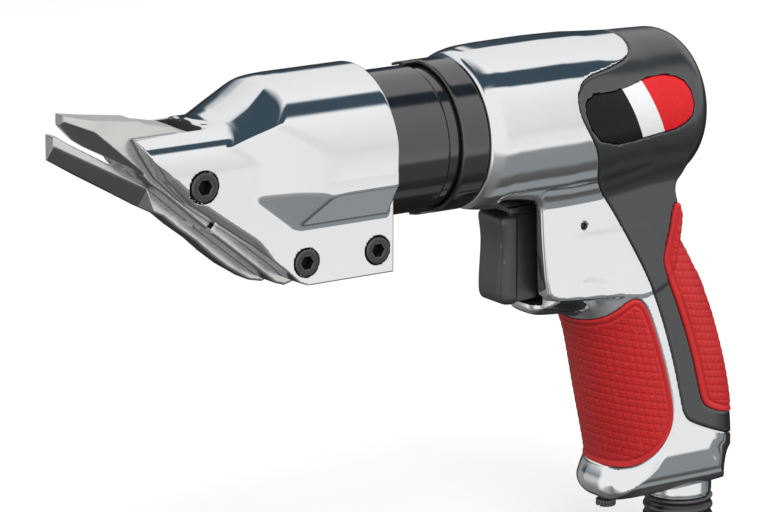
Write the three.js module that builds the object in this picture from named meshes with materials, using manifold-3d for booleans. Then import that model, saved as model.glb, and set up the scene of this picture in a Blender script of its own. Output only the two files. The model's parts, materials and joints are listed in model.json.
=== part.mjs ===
// Pistol-grip pneumatic metal shear, scissor type, as an assembly of separate solids.
// Millimetres, +Z up. The barrel axis lies along X, with the blades towards -X and the handle
// hanging down. Parts are drawn with X = 0 at the front face of the motor housing; the group
// is then shifted so that its origin is where the barrel axis meets the flat rear face.
// "Near" is the -Y side and "far" is the +Y side.
import * as THREE from 'three';
import { mergeVertices } from 'three/addons/utils/BufferGeometryUtils.js';
import { ConvexGeometry } from 'three/addons/geometries/ConvexGeometry.js';
import Module from 'manifold-3d';

const wasm = await Module();
wasm.setup();

// ---------------------------------------------------------------- driving dimensions
const ORIGIN = [0, 0, 0];
const DEG = Math.PI / 180;
const REAR_X = 80.5;            // rear end face of the barrel
const HEAD_R = 24.3;            // round rear part of the shear head
const CHEEK_Y = 18;             // outer faces of the head cheeks
const SLOT_Y = [-9, 9.6];       // walls of the blade slot
const MOVING_Y = [-8.7, 0.85];  // faces of the moving blade and the spacer
const FIXED_Y = [1.1, 9.3];     // faces of the fixed blade
const GEARCASE_R = 20.8;
const NUT_R = 21.9;             // barrel clamp nut
const HANDLE_HALF = 16;         // half thickness of the handle
const WALL_SKIN = 2.3;          // thickness of the covers and grips
const FIT = 0.15;               // gap round the covers and grips
const BASE_Z = -118;            // flat underside of the handle
const INLET = { x: 85, radius: 10, top: -121.2, bottom: -134 };
const KNOB = { x: 58, radius: 3.6, stemR: 2 };
const ECCENTRIC_THROW = 1.7;
const TRIGGER_HALF = 7;
const TRIGGER_PIN = { at: [37.5, 0, -29.4], radius: 1.25, holeR: 1.32 };
const VALVE_AT = [0, 0, -37];   // valve axis, parallel to the barrel

// Cross bolts with the head on the near side and the nut on the far side
const CLAMP_SIZE = { headR: 3.9, shankR: 2.45, nutR: 4.7 };
const PIVOT = { x: -92, z: -0.7, headR: 4.35, shankR: 2.95, nutR: 5.7 };
const CLAMP_FRONT = { x: -59.2, z: -26.2, ...CLAMP_SIZE };
const CLAMP_REAR = { x: -35.7, z: -25.9, ...CLAMP_SIZE };
const BOLTS = [PIVOT, CLAMP_FRONT, CLAMP_REAR];
const BOLT_CLEARANCE = 0.15;    // between a shank and its hole

// ---------------------------------------------------------------- solid helpers
function toSolid(geometry) {
  const bare = geometry.clone();
  for (const key of Object.keys(bare.attributes)) {
    if (key !== 'position') bare.deleteAttribute(key);
  }
  const merged = mergeVertices(bare, 1e-4);
  const positions = merged.attributes.position.array;
  const corners = merged.index.array;
  const vertex = (i) => new THREE.Vector3().fromArray(positions, 3 * i);
  const triangles = [];
  let volume = 0;
  for (let i = 0; i < corners.length; i += 3) {
    const [a, b, c] = corners.slice(i, i + 3);
    if (a === b || b === c || a === c) continue;
    triangles.push(a, b, c);
    volume += vertex(a).dot(vertex(b).cross(vertex(c)));
  }
  // an inside-out surface is turned by reversing its triangles
  if (volume < 0) triangles.reverse();
  return new wasm.Manifold(new wasm.Mesh({
    numProp: 3,
    vertProperties: new Float32Array(positions),
    triVerts: new Uint32Array(triangles),
  }));
}

function toGeometry(solid) {
  const mesh = solid.getMesh();
  const geometry = new THREE.BufferGeometry();
  const positions = new Float32Array(mesh.vertProperties);
  geometry.setAttribute('position', new THREE.BufferAttribute(positions, 3));
  geometry.setIndex(new THREE.BufferAttribute(new Uint32Array(mesh.triVerts), 1));
  geometry.computeVertexNormals();
  return geometry;
}

const add = (first, ...rest) => rest.reduce((sum, solid) => sum.add(solid), first);
const cut = (first, ...rest) => rest.reduce((body, solid) => body.subtract(solid), first);
const both = (first, ...rest) => rest.reduce((body, solid) => body.intersect(solid), first);

const vectors = (points) => points.map(([u, v]) => new THREE.Vector2(u, v));

function shapeOf(outline, holes = []) {
  const shape = new THREE.Shape(vectors(outline));
  for (const hole of holes) shape.holes.push(new THREE.Path(vectors(hole)));
  return shape;
}

const extrusion = (outline, depth, holes) =>
  new THREE.ExtrudeGeometry(shapeOf(outline, holes), { depth, bevelEnabled: false });

// outline of [x, z], extruded from y0 to y1
function plateXZ(outline, y0, y1) {
  const geometry = extrusion(outline, y1 - y0);
  geometry.rotateX(Math.PI / 2);
  geometry.translate(0, y1, 0);
  return toSolid(geometry);
}

// outline of [x, y], extruded from z0 to z1
const plateXY = (outline, z0, z1) => toSolid(extrusion(outline, z1 - z0).translate(0, 0, z0));

// outline of [y, z], extruded from x0 to x1
const XYZ_TO_YZX = new THREE.Matrix4().makeBasis(
  new THREE.Vector3(0, 1, 0), new THREE.Vector3(0, 0, 1), new THREE.Vector3(1, 0, 0));
function plateYZ(outline, x0, x1, holes = []) {
  const geometry = extrusion(outline, x1 - x0, holes);
  geometry.translate(0, 0, x0);
  geometry.applyMatrix4(XYZ_TO_YZX);
  return toSolid(geometry);
}

// profile of [axial, radius] turned about the 'x', 'y' or 'z' axis through a point
function turned(profile, segments, axis = 'x', at = ORIGIN) {
  const points = profile.map(([along, r]) => new THREE.Vector2(Math.max(r, 0), along));
  const geometry = new THREE.LatheGeometry(points, segments);
  if (axis === 'x') geometry.rotateZ(-Math.PI / 2);
  if (axis === 'z') geometry.rotateX(Math.PI / 2);
  geometry.translate(...at);
  return toSolid(geometry);
}

// the same for a hollow part, whose profile closes on its first point
const turnedRing = (profile, ...placing) => turned([...profile, profile[0]], ...placing);

const rod = (start, end, radius, ...placing) =>
  turned([[start, 0], [start, radius], [end, radius], [end, 0]], ...placing);
const tube = (start, end, innerR, outerR, ...placing) =>
  turnedRing([[start, innerR], [start, outerR], [end, outerR], [end, innerR]], ...placing);

// rod along Y on the centre line of a cross bolt
const boltRod = (bolt, y0, y1, radius, segments = 16) =>
  rod(y0, y1, radius, segments, 'y', [bolt.x, 0, bolt.z]);
const boltHole = (bolt) => boltRod(bolt, -20, 20, bolt.shankR + BOLT_CLEARANCE);

function box(x0, x1, y0, y1, z0, z1) {
  const geometry = new THREE.BoxGeometry(x1 - x0, y1 - y0, z1 - z0);
  geometry.translate((x0 + x1) / 2, (y0 + y1) / 2, (z0 + z1) / 2);
  return toSolid(geometry);
}

const hull = (points) =>
  toSolid(new ConvexGeometry(points.map((point) => new THREE.Vector3(...point))));

const polar = (radius, angle, centreU = 0, centreV = 0) =>
  [centreU + radius * Math.cos(angle), centreV + radius * Math.sin(angle)];
const polygon = (sides, radius, centreU, centreV) => Array.from({ length: sides }, (_, i) =>
  polar(radius, (2 * Math.PI * i) / sides, centreU, centreV));

// polygonal bar along a curve
const swept = (sides, radius, steps, extrudePath) => toSolid(new THREE.ExtrudeGeometry(
  shapeOf(polygon(sides, radius)), { steps, bevelEnabled: false, extrudePath }));
const straightBar = (sides, radius, from, to) =>
  swept(sides, radius, 1, new THREE.LineCurve3(new THREE.Vector3(...from), new THREE.Vector3(...to)));

// half an outline followed by its mirror image; the sign of the mirrored coordinate is -1
const mirrored = (half, signU, signV) =>
  [...half, ...[...half].reverse().map(([u, v]) => [signU * u, signV * v])];

// parallel copy of a closed outline, moved inwards by a distance (outwards if negative)
function inset(outline, distance) {
  const count = outline.length;
  let area = 0;
  outline.forEach(([u, v], i) => {
    const [nextU, nextV] = outline[(i + 1) % count];
    area += u * nextV - nextU * v;
  });
  const turn = area > 0 ? 1 : -1;
  const inwardNormal = (from, to) => {
    const [du, dv] = [to[0] - from[0], to[1] - from[1]];
    const length = Math.hypot(du, dv);
    return [-dv / length * turn, du / length * turn];
  };
  return outline.map((point, i) => {
    const before = inwardNormal(outline[(i + count - 1) % count], point);
    const after = inwardNormal(point, outline[(i + 1) % count]);
    const spread = 1 + before[0] * after[0] + before[1] * after[1];
    // the limit keeps sharp corners from running far out
    const shift = distance / Math.max(spread, 0.5);
    return [point[0] + (before[0] + after[0]) * shift, point[1] + (before[1] + after[1]) * shift];
  });
}

// ---------------------------------------------------------------- shear head
// Tables ending in _XZ are outlines of [x, z] seen from the side.
const HEAD_XZ = [
  [-109.8, 13.8], [-107.4, 9.2], [-102.8, 1.8], [-94.4, -6.2], [-85.7, -12.6], [-74.9, -20.2],
  [-64.8, -28.5], [-61.4, -31.8], [-58.6, -32.8], [-30.2, -32.8], [-30.2, -24.6], [-32.1, -24.6],
  [-32.1, 24.6], [-62, 24.3], [-68.3, 23], [-75, 18.9], [-81, 15.3], [-86, 13.9],
];
const SLOT_XZ = [
  [-140, 40], [-140, -45], [-20, -45], [-20, -25], [-45.6, -25], [-45.6, 15.4], [-63, 15.4],
  [-67, 10.6], [-86.6, 10.6], [-87.6, 40],
];
// plan of the round part, narrowing to the cheeks, far half, [x, y]
const HEAD_PLAN_HALF = [
  [-32, 30], [-50, 25], [-56, 23.9], [-64, 21.6], [-72, 19], [-78, CHEEK_Y + 0.1], [-97, CHEEK_Y],
];
// cross section of the cheeks, far half, [y, z]
const CHEEK_SECTION_HALF = [
  [CHEEK_Y, -40], [CHEEK_Y, 6.2], [17.2, 8.4], [15.6, 9.9], [9.2, 13.8],
];
const HEAD_REAR_X = -32.1;
// plane of the far facet: its normal, distance from X = Y = Z = 0, and how far the cut reaches
const FACET = { normal: [-0.33, 0.62, 0.71], distance: 44.3, reach: 40 };

// cutter for the flat facet on each side where the round part runs down to the nose
function facetCutter(side) {
  const [nx, ny, nz] = FACET.normal;
  const { distance, reach } = FACET;
  return hull([-100, -55].flatMap((x) => [30, -2].flatMap((y) => {
    const z = (distance - nx * x - ny * y) / nz;
    return [[x, side * y, z], [x + reach * nx, side * (y + reach * ny), z + reach * nz]];
  })));
}

function makeHead() {
  const turnedBlank = turned([[-96, 0], [-96, HEAD_R], [HEAD_REAR_X - 1.1, HEAD_R],
    [HEAD_REAR_X, HEAD_R - 0.8], [HEAD_REAR_X, 0]], 32);
  const round = cut(
    both(turnedBlank, plateXZ(HEAD_XZ, -30, 30),
      plateXY(mirrored(HEAD_PLAN_HALF, 1, -1), -40, 40)),
    facetCutter(1), facetCutter(-1));
  const cheeks = both(plateXZ(HEAD_XZ, -CHEEK_Y, CHEEK_Y),
    plateYZ(mirrored(CHEEK_SECTION_HALF, -1, 1), -115, -20));
  const slot = plateXZ(SLOT_XZ, ...SLOT_Y);
  const bore = turned([[-45.8, 0], [-45.8, 17], [-44.2, 19.6], [-31, 19.6], [-31, 0]], 32);
  // each bolt has a through hole, a near counterbore and a far hexagonal pocket
  const boltCuts = BOLTS.flatMap((bolt) => [
    boltHole(bolt),
    boltRod(bolt, -20, -13.9, bolt.headR + 0.25),
    boltRod(bolt, 14, 20, bolt.nutR + 0.2, 6),
  ]);
  return cut(add(round, cheeks), slot, bore, ...boltCuts);
}

// ---------------------------------------------------------------- blades and spacer
const MOVING_XZ = [
  [-127.3, 20.9], [-127.4, 17.7], [-122.9, 13], [-119.4, 10.7], [-112.7, 7.2], [-107.2, 4.1],
  [-103.6, 0.2], [-100.2, -2.6], [-88.9, -12.4], [-85.8, -15], [-79.5, -8.4], [-70, -7.6],
  [-59.5, -9.4], [-57, -13.9], [-43.6, -13.9], [-43.6, -10.9], [-53, -10.9], [-53, 7.5],
  [-43.6, 7.5], [-43.6, 10.4], [-57, 10.4], [-62, 7.4], [-72, 6], [-82, 7.2], [-87.4, 11.2],
  [-91.5, 13], [-94.5, 13.9], [-96.4, 15.2], [-105, 16.9], [-107, 17.9], [-121, 19.8],
];
const FIXED_XZ = [
  [-127.8, 14.1], [-126.9, 14.3], [-123.5, 12], [-107.1, 2.6], [-102.4, 3], [-98, 7.4], [-92, 9],
  [-86, 7.2], [-79.6, -1.6], [-69, -11], [-58, -16], [-48.4, -17], [-46.4, -25.4], [-31, -25.4],
  [-31, -33.6], [-58, -33.8], [-61.6, -35.2], [-66, -34.2], [-72.9, -29.8], [-78, -25.7],
  [-83.1, -21], [-88.9, -16.6], [-93.5, -12.6], [-98.5, -10], [-106.1, -5.5], [-115.6, 0],
  [-123.1, 4.4], [-127.8, 7.1],
];
const SPACER_XZ = [
  [-84, -16.7], [-71.6, -26.8], [-63.5, -33.4], [-60.5, -34.4], [-57.5, -33.6], [-31, -33.6],
  [-31, -25.4], [-46.4, -25.4], [-48.4, -17.4], [-60, -17.4], [-76.2, -9.8], [-78.9, -8.7],
  [-84.3, -15.2],
];
// Corners [x, y, z] of the convex cutters that shape the blades
const BEVEL_Y = MOVING_Y[0] - 0.01;   // where the ground bevel leaves the near face
const MOVING_BEVEL = [
  [-131, -12, 24], [-131, BEVEL_Y, 24.6], [-112.6, BEVEL_Y, 9.4], [-105.6, BEVEL_Y, 2.2],
  [-131, 0.5, 19.6], [-122.9, 0.5, 12.8], [-107.2, 0.5, 3.8], [-105.6, 0.5, 1.6],
  [-131, 0.5, -12], [-105.6, 0.5, -12], [-131, -12, -12], [-105.6, -12, -12],
  [-105.6, -12, 2.2], [-112.6, -12, 9.4],
];
const FIXED_RELIEF = [
  [-132, 0, 13], [-132, 1.35, 13], [-124, 1.35, 9.4], [-108, 1.35, -0.6], [-108, 0, -0.6],
  [-132, 6.4, 6.6], [-108, 6.4, -6], [-132, 0, -12], [-108, 0, -12], [-132, 6.4, -12],
  [-108, 6.4, -12],
];
// Upright wedges that thin the blade tips, as plan corners [x, y]
const MOVING_TIP_PLAN = [[-128, -3.2], [-120.5, -8.8], [-128, -10], [-120.5, -10]];
const FIXED_TIP_PLAN = [[-129, 5.2], [-119, 9.5], [-129, 11], [-119, 11]];
const uprightHull = (plan, z0, z1) => hull(plan.flatMap(([x, y]) => [[x, y, z1], [x, y, z0]]));

const makeMovingBlade = () => cut(plateXZ(MOVING_XZ, ...MOVING_Y),
  hull(MOVING_BEVEL),
  uprightHull(MOVING_TIP_PLAN, 10, 30),
  boltRod(PIVOT, -10, 2, 5.09, 24));

const makeFixedBlade = () => cut(plateXZ(FIXED_XZ, ...FIXED_Y),
  hull(FIXED_RELIEF),
  uprightHull(FIXED_TIP_PLAN, 0, 20),
  boltRod(PIVOT, 0, 11, 3.12),
  boltHole(CLAMP_FRONT),
  boltHole(CLAMP_REAR));

const makeSpacer = () => cut(plateXZ(SPACER_XZ, ...MOVING_Y),
  boltHole(CLAMP_FRONT), boltHole(CLAMP_REAR));

// ---------------------------------------------------------------- cross bolts
const makePivotBushing = () => tube(-8.8, 0.95, 3.06, 5, 24, 'y', [PIVOT.x, 0, PIVOT.z]);

function makeCapScrew(bolt) {
  const { x, z, headR, shankR } = bolt;
  const [top, seat, tip] = [-18.3, -14, 17];
  const screw = turned([[top, 0], [top, headR - 0.5], [top + 0.5, headR], [seat, headR],
    [seat, shankR], [tip, shankR], [tip, 0]], 20, 'y', [x, 0, z]);
  const hexSocket = boltRod(bolt, -19, -15.6, headR * 0.56, 6);
  return cut(screw, hexSocket);
}

const makeHexNut = (bolt) => cut(boltRod(bolt, 14.15, 17.8, bolt.nutR, 6),
  boltRod(bolt, 13, 19, bolt.shankR + 0.1));

// ---------------------------------------------------------------- gear case and clamp nut
const makeGearCase = () => turnedRing([
  [-42.6, 9], [-42.6, 19], [-31.9, 19.3], [-31.9, GEARCASE_R], [-13.2, GEARCASE_R],
  [-12.8, 20.3], [-4.6, 20.3], [-4.6, 17.2], [-30.9, 17.2], [-30.9, 13.15], [-38.9, 13.15],
  [-38.9, 9]], 32);

function makeClampNut() {
  const [innerR, lugInnerR, lugWidth] = [20.55, 21.05, 17 * DEG];
  const nut = turnedRing([[-9.3, innerR], [-9.3, NUT_R - 0.6], [-8.6, NUT_R], [-0.3, NUT_R],
    [-0.3, innerR]], 32);
  // two opposite lugs on the front face
  const lug = (middle) => {
    const angles = [-0.5, 0, 0.5].map((part) => middle + part * lugWidth);
    const inner = angles.map((angle) => polar(lugInnerR, angle));
    const outer = angles.map((angle) => polar(NUT_R, angle));
    return plateYZ([...inner, ...outer.reverse()], -14.2, -9);
  };
  return add(nut, lug(78 * DEG), lug(258 * DEG));
}

// ---------------------------------------------------------------- barrel and handle bodies
// [x, radius]
const BARREL_PROFILE = [
  [0, 0], [0, 22.2], [1, 23.8], [3.4, 24.9], [10, 25.4], [28, 25.9], [44, 25.5], [54, 23.5],
  [74, 22.4], [77.6, 20.6], [79.8, 17], [REAR_X, 12.6], [REAR_X, 0],
];
const BARREL_WIDTH_SCALE = 0.94;   // the barrel is slightly narrower in Y than in Z
const HANDLE_XZ = [
  [16, -8], [19, -15], [21.8, -19], [22.4, -24], [23, -35], [24.2, -47], [23, -51.5],
  [20.8, -53.6], [21.2, -55.4], [24, -56.4], [32, -57.2], [39.6, -57.8], [43.2, -60.2],
  [45.2, -65], [49.0, -84], [52.8, -99], [54, -105.5], [53, -109], [52.2, -112.5], [53, -116],
  [56.2, BASE_Z], [94, BASE_Z], [96.6, -116.6], [96.8, -110.5], [99.6, -107.4], [100.2, -103.6],
  [99.9, -99], [98.2, -85], [95.4, -74.6], [90.6, -60.7], [83.6, -45.4], [78, -36.2],
  [74.6, -31], [72.2, -27], [71.2, -23], [72.6, -18], [76, -8],
];
// the same outline without its small steps, for the inner faces of the covers and grips
const HANDLE_CORE_XZ = [
  [20, -8], [24, -24], [26, -50], [30, -57], [43, -60], [45.2, -65], [49.0, -84], [52.8, -99],
  [53.4, -108], [53.4, BASE_Z], [96.6, BASE_Z], [100, -103.6], [98.2, -85], [95.4, -74.6],
  [90.6, -60.7], [83.6, -45.4], [74.2, -30], [71.4, -23], [76, -8],
];
// Plan section of the grip at the level levelZ. It moves back by lean for each unit down.
const GRIP = { frontX: 42, rearX: 93.4, endR: 15, lean: 0.225, levelZ: -58 };

// barrel with its surface moved inwards, cut short at endX
const barrelSolid = (offset, endX = REAR_X) => turned(BARREL_PROFILE.map(([x, radius]) =>
  [Math.min(x, endX), radius > 0 ? radius - offset : 0]), 32).scale([1, BARREL_WIDTH_SCALE, 1]);

function gripPrism(offset) {
  const endR = GRIP.endR - offset;
  const half = HANDLE_HALF - offset;
  const ends = [[GRIP.rearX - offset - endR, -90], [GRIP.frontX + offset + endR, 90]];
  const plan = ends.flatMap(([centreX, startAngle]) => Array.from({ length: 9 }, (_, i) => {
    const angle = (startAngle + i * 22.5) * DEG;
    return [centreX + endR * Math.cos(angle), half * Math.sin(angle)];
  }));
  const geometry = extrusion(plan, 70).translate(0, 0, -124);
  const { lean, levelZ } = GRIP;
  geometry.applyMatrix4(new THREE.Matrix4().set(
    1, 0, -lean, lean * levelZ,
    0, 1, 0, 0,
    0, 0, 1, 0,
    0, 0, 0, 1));
  return toSolid(geometry);
}

function handleSolid(outline, offset) {
  const half = HANDLE_HALF - offset;
  const upperHalf = HANDLE_HALF - 0.6 - offset;
  const side = plateXZ(inset(outline, offset), -half, half);
  const upper = box(0, 120, -upperHalf, upperHalf, GRIP.levelZ, 0);
  return both(side, add(gripPrism(offset), upper));
}

const OUTER_HANDLE = handleSolid(HANDLE_XZ, 0);
const OUTER_BODY = add(barrelSolid(0), OUTER_HANDLE);
// The covers and grips stop at the cover core; the housing pockets go deeper, to its own core.
const COVER_CORE_HANDLE = handleSolid(HANDLE_CORE_XZ, WALL_SKIN);
const COVER_CORE = add(barrelSolid(WALL_SKIN, REAR_X - 3), COVER_CORE_HANDLE);
const HOUSING_CORE = add(barrelSolid(WALL_SKIN + FIT, REAR_X - 3.2),
  handleSolid(HANDLE_CORE_XZ, WALL_SKIN + FIT));

// ---------------------------------------------------------------- covers, grips and badges
const REAR_COVER_XZ = [
  [57, 30], [57, 24], [55.4, 20], [51.4, 17.9], [42.4, 16.1], [34.4, 14.6], [31, 11], [30, 7.4],
  [31.4, 2.8], [34.4, -2.6], [36.9, -7.6], [38.8, -13.4], [42.6, -19], [47.4, -25.4], [54, -36],
  [60.9, -47.7], [66.2, -60], [70.9, -74.4], [74.2, -88], [75.6, -92.4], [78.8, -95],
  [95.5, -101.2], [106, -105], [110, -20], [110, 30],
];
const FRONT_GRIP_XZ = [
  [34, -60.2], [42.5, -60.8], [48.8, -58.4], [52.6, -55], [56.6, -53.8], [60, -55.6],
  [62.8, -61.6], [66, -70], [69, -79.6], [71, -88.4], [71.4, -92.6], [69.8, -96.6],
  [66.2, -100.8], [61, -104.8], [56.4, -106.4], [50, -106.8], [44, -106.2], [34, -104],
];
const REAR_GRIP_XZ = [
  [72, -27.2], [71, -30], [70.6, -34], [69.2, -40], [67.4, -44], [68.6, -48.6], [73, -59.8],
  [78, -74.2], [81.2, -87], [83, -90], [92.4, -93.8], [106, -97], [106, -30], [84, -27.2],
];
const BADGE_XZ = [
  [33.4, 9.8], [45.5, 10.4], [57, 12.2], [65, 12], [70.6, 8.8], [72, 1.2], [66.8, -2.4],
  [58, -3.4], [39, -4.2], [33.4, 2.6],
];

// region under an outline, grown outwards by a gap
const region = (outline, gap = 0, y0 = -40, y1 = 40) => plateXZ(inset(outline, -gap), y0, y1);
const badgeRegion = (side, gap) =>
  (side < 0 ? region(BADGE_XZ, gap, -40, -8) : region(BADGE_XZ, gap, 8, 40));

const makeRearCover = () => cut(both(OUTER_BODY, region(REAR_COVER_XZ)), COVER_CORE,
  region(REAR_GRIP_XZ, FIT), badgeRegion(-1, FIT), badgeRegion(1, FIT));
const makeFrontGrip = () => cut(both(OUTER_HANDLE, region(FRONT_GRIP_XZ)), COVER_CORE_HANDLE);
const makeRearGrip = () => cut(both(OUTER_HANDLE, region(REAR_GRIP_XZ)), COVER_CORE_HANDLE,
  barrelSolid(-0.2));
// the badges lie a little below the surface of the rear cover
const makeBadge = (side) => cut(both(barrelSolid(0.25), badgeRegion(side, 0)),
  barrelSolid(WALL_SKIN - 0.1, REAR_X - 2));

// ---------------------------------------------------------------- motor housing
const MOTOR_BORE_R = 18.9;
const EXHAUST = { top: [52, 0, -50], bottom: [69, 0, -121] };
const exhaustPoint = (z) => {
  const part = (z - EXHAUST.top[2]) / (EXHAUST.bottom[2] - EXHAUST.top[2]);
  return [EXHAUST.top[0] + part * (EXHAUST.bottom[0] - EXHAUST.top[0]), 0, z];
};

function makeHousing() {
  // the covers and grips sit in pockets cut down to the core
  const pockets = cut(add(region(REAR_COVER_XZ, FIT), region(FRONT_GRIP_XZ, FIT)), HOUSING_CORE);
  const clampSpigot = rod(-4.3, 0.3, 20.2, 28);
  const motorBore = turned([[-6, 0], [-6, MOTOR_BORE_R], [57, MOTOR_BORE_R], [57, 9], [66, 9],
    [66, 0]], 28);
  const recessHalf = TRIGGER_HALF + 0.6;
  const triggerRecess = add(box(10, 34, -recessHalf, recessHalf, -51.9, -21.6),
    box(10, 26, -recessHalf, recessHalf, -53, -51));
  const valveBore = turned([[33, 0], [33, 6.4], [60, 6.4], [60, 4.9], [70.4, 4.9], [70.4, 0]],
    20, 'x', VALVE_AT);
  const inletPort = straightBar(12, 3.6, [64, 0, -36], [INLET.x, 0, -106]);
  const motorFeed = rod(VALVE_AT[2], -14, 3.4, 16, 'z', [52, 0, 0]);
  const exhaust = straightBar(14, 4.2, EXHAUST.top, EXHAUST.bottom);
  const inletBore = rod(-122, -104, 8.3, 24, 'z', [INLET.x, 0, 0]);
  const pinHole = rod(-20, 20, TRIGGER_PIN.holeR, 16, 'y', TRIGGER_PIN.at);
  const knobHole = rod(-122, -109.8, KNOB.stemR + 0.25, 20, 'z', [KNOB.x, 0, 0]);
  return cut(add(cut(OUTER_BODY, pockets), clampSpigot), motorBore, triggerRecess, valveBore,
    inletPort, motorFeed, exhaust, inletBore, pinHole, knobHole);
}

const makeSilencerFelt = () => straightBar(12, 3.7, exhaustPoint(-70), exhaustPoint(-108));

// ---------------------------------------------------------------- trigger and valve
const TRIGGER_XZ = [
  [14.6, -27.4], [15.2, -25.8], [17, -24.9], [18, -23.6], [28.6, -23.4], [28.6, -51],
  [21, -51.8], [17, -51.4], [15.2, -49.4], [14.9, -45], [15.4, -38], [15.2, -31],
];
// plan of the trigger, far half, [x, y]
const TRIGGER_PLAN_HALF = [[30, TRIGGER_HALF], [18, TRIGGER_HALF], [15.8, 6], [14.6, 4]];
const STEM_R = 2;
const SPRING = { startX: 53.9, length: 6, radius: 2.9, turns: 3.5, wireR: 0.42 };

const makeTrigger = () => cut(
  both(plateXZ(TRIGGER_XZ, -TRIGGER_HALF, TRIGGER_HALF),
    plateXY(mirrored(TRIGGER_PLAN_HALF, 1, -1), -60, -10)),
  rod(24, 30, STEM_R + 0.15, 20, 'x', VALVE_AT));
const makeTriggerPin = () => rod(-15.2, 15.2, TRIGGER_PIN.radius, 16, 'y', TRIGGER_PIN.at);

const makeStem = () => turned([[24.4, 0], [24.4, STEM_R], [51.4, STEM_R], [51.4, 3.9],
  [53.4, 3.9], [53.4, 1.7], [56, 1.7], [56, 0]], 20, 'x', VALVE_AT);

function makeValveBushing() {
  const [outerR, grooveR, innerR] = [6.2, 5.2, STEM_R + 0.1];
  return turnedRing([[36.2, innerR], [36.2, outerR], [42, outerR], [42, grooveR], [44, grooveR],
    [44, outerR], [50.6, outerR], [50.6, 2.9], [46.2, innerR]], 20, 'x', VALVE_AT);
}

// ring of six-sided section, in the groove of the valve bushing
function makeValveSeal() {
  const seal = { x: 43, radius: 5.8, halfLength: 0.6, halfHeight: 0.5 };
  const section = polygon(6, 1).map(([u, v]) =>
    [seal.x + seal.halfLength * v, seal.radius + seal.halfHeight * u]);
  return turnedRing(section, 20, 'x', VALVE_AT);
}

// helix about the valve axis, drawn at its pressed length
class Helix extends THREE.Curve {
  getPoint(t, target = new THREE.Vector3()) {
    const [y, z] = polar(SPRING.radius, t * 2 * Math.PI * SPRING.turns, 0, VALVE_AT[2]);
    return target.set(SPRING.startX + SPRING.length * t, y, z);
  }
}
const makeSpring = () => swept(5, SPRING.wireR, 36, new Helix());

// ---------------------------------------------------------------- involute gears
const GEAR = {
  module: 0.8, sun: 12, planet: 12, ring: 36,   // tooth counts
  pressureAngle: 25 * DEG, backlash: 0.14, addendum: 0.62, dedendum: 0.95,
};
const CARRIER_R = GEAR.module * (GEAR.sun + GEAR.planet) / 2;
const involute = (angle) => Math.tan(angle) - angle;

// A ring gear is drawn as the outline of its toothed hole.
function gearOutline(teeth, phase, flankSteps, isRing = false) {
  const pitchR = GEAR.module * teeth / 2;
  const baseR = pitchR * Math.cos(GEAR.pressureAngle);
  const outerR = pitchR + (isRing ? GEAR.dedendum : GEAR.addendum);
  const innerR = pitchR - (isRing ? GEAR.addendum : GEAR.dedendum);
  const thinning = isRing ? -GEAR.backlash : GEAR.backlash;
  const halfAngle = (radius) => {
    const pressure = Math.acos(Math.min(1, baseR / Math.max(radius, baseR)));
    return Math.PI / (2 * teeth) - thinning / (2 * pitchR)
      + involute(GEAR.pressureAngle) - involute(pressure);
  };
  // [radius, half angle] up one flank
  const startR = Math.max(innerR, baseR);
  const flank = Array.from({ length: flankSteps + 1 }, (_, i) => {
    const radius = startR + (outerR - startR) * (i / flankSteps);
    return [radius, halfAngle(radius)];
  });
  if (innerR < baseR - 1e-6) flank.unshift([innerR, halfAngle(baseR)]);
  const backFlank = [...flank].reverse();
  return Array.from({ length: teeth }, (_, k) => phase + (2 * Math.PI * k) / teeth)
    .flatMap((middle) => [
      ...flank.map(([radius, half]) => polar(radius, middle - half)),
      ...backFlank.map(([radius, half]) => polar(radius, middle + half)),
    ]);
}

// ---------------------------------------------------------------- air motor
const CYLINDER_BORE = { radius: 15, z: -1.7 };   // its centre is below the rotor axis
const ROTOR_R = 13;
const PLATE_R = 18.7;                            // cylinder and both end plates
const FRONT_JOURNAL_R = 5.58;
const REAR_JOURNAL_R = 4.05;
const VANE_COUNT = 4;

// flat bar pointing out from the rotor axis, at the place of vane k
function radialBar(k, halfWidth, innerR, outerR, x0, x1) {
  const angle = k * 90 * DEG + 45 * DEG;
  const [cos, sin] = [Math.cos(angle), Math.sin(angle)];
  const corner = (radius, across) => [radius * cos + across * sin, radius * sin - across * cos];
  return plateYZ([corner(innerR, halfWidth), corner(outerR, halfWidth),
    corner(outerR, -halfWidth), corner(innerR, -halfWidth)], x0, x1);
}

function makeRotor() {
  const body = turned([[-13.4, 0], [-13.4, FRONT_JOURNAL_R], [3.6, FRONT_JOURNAL_R],
    [3.6, ROTOR_R], [47.6, ROTOR_R], [47.6, REAR_JOURNAL_R], [58, REAR_JOURNAL_R], [58, 0]], 28);
  const slots = Array.from({ length: VANE_COUNT }, (_, k) => radialBar(k, 0.95, 6.4, 15, 3, 48.5));
  const sunPinion = plateYZ(gearOutline(GEAR.sun, 0, 2), -25.8, -13);
  return add(cut(body, ...slots), sunPinion);
}
const makeVane = (k) => radialBar(k, 0.82, 6.9, ROTOR_R - 0.1, 3.9, 47.3);

const makeCylinder = () => cut(tube(3.25, 47.95, 12, PLATE_R, 28),
  rod(0, 50, CYLINDER_BORE.radius, 36, 'x', [0, 0, CYLINDER_BORE.z]),
  rod(-30, 0, 2.4, 12, 'z', [25, 0, 0]),                             // hole through the underside
  ...[18, 32].map((x) => rod(0, 30, 1.8, 10, 'y', [x, 0, -4])));     // holes in the far side
const makeFrontPlate = () => turnedRing([[-4.2, 8.35], [-4.2, PLATE_R], [3, PLATE_R], [3, 6.2],
  [1, 6.2], [1, 8.35]], 28);
const makeRearPlate = () => turnedRing([[48.2, 4.6], [48.2, PLATE_R], [54.8, PLATE_R],
  [54.8, 8.1], [50.4, 8.1], [50.4, 4.6]], 28);

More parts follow.
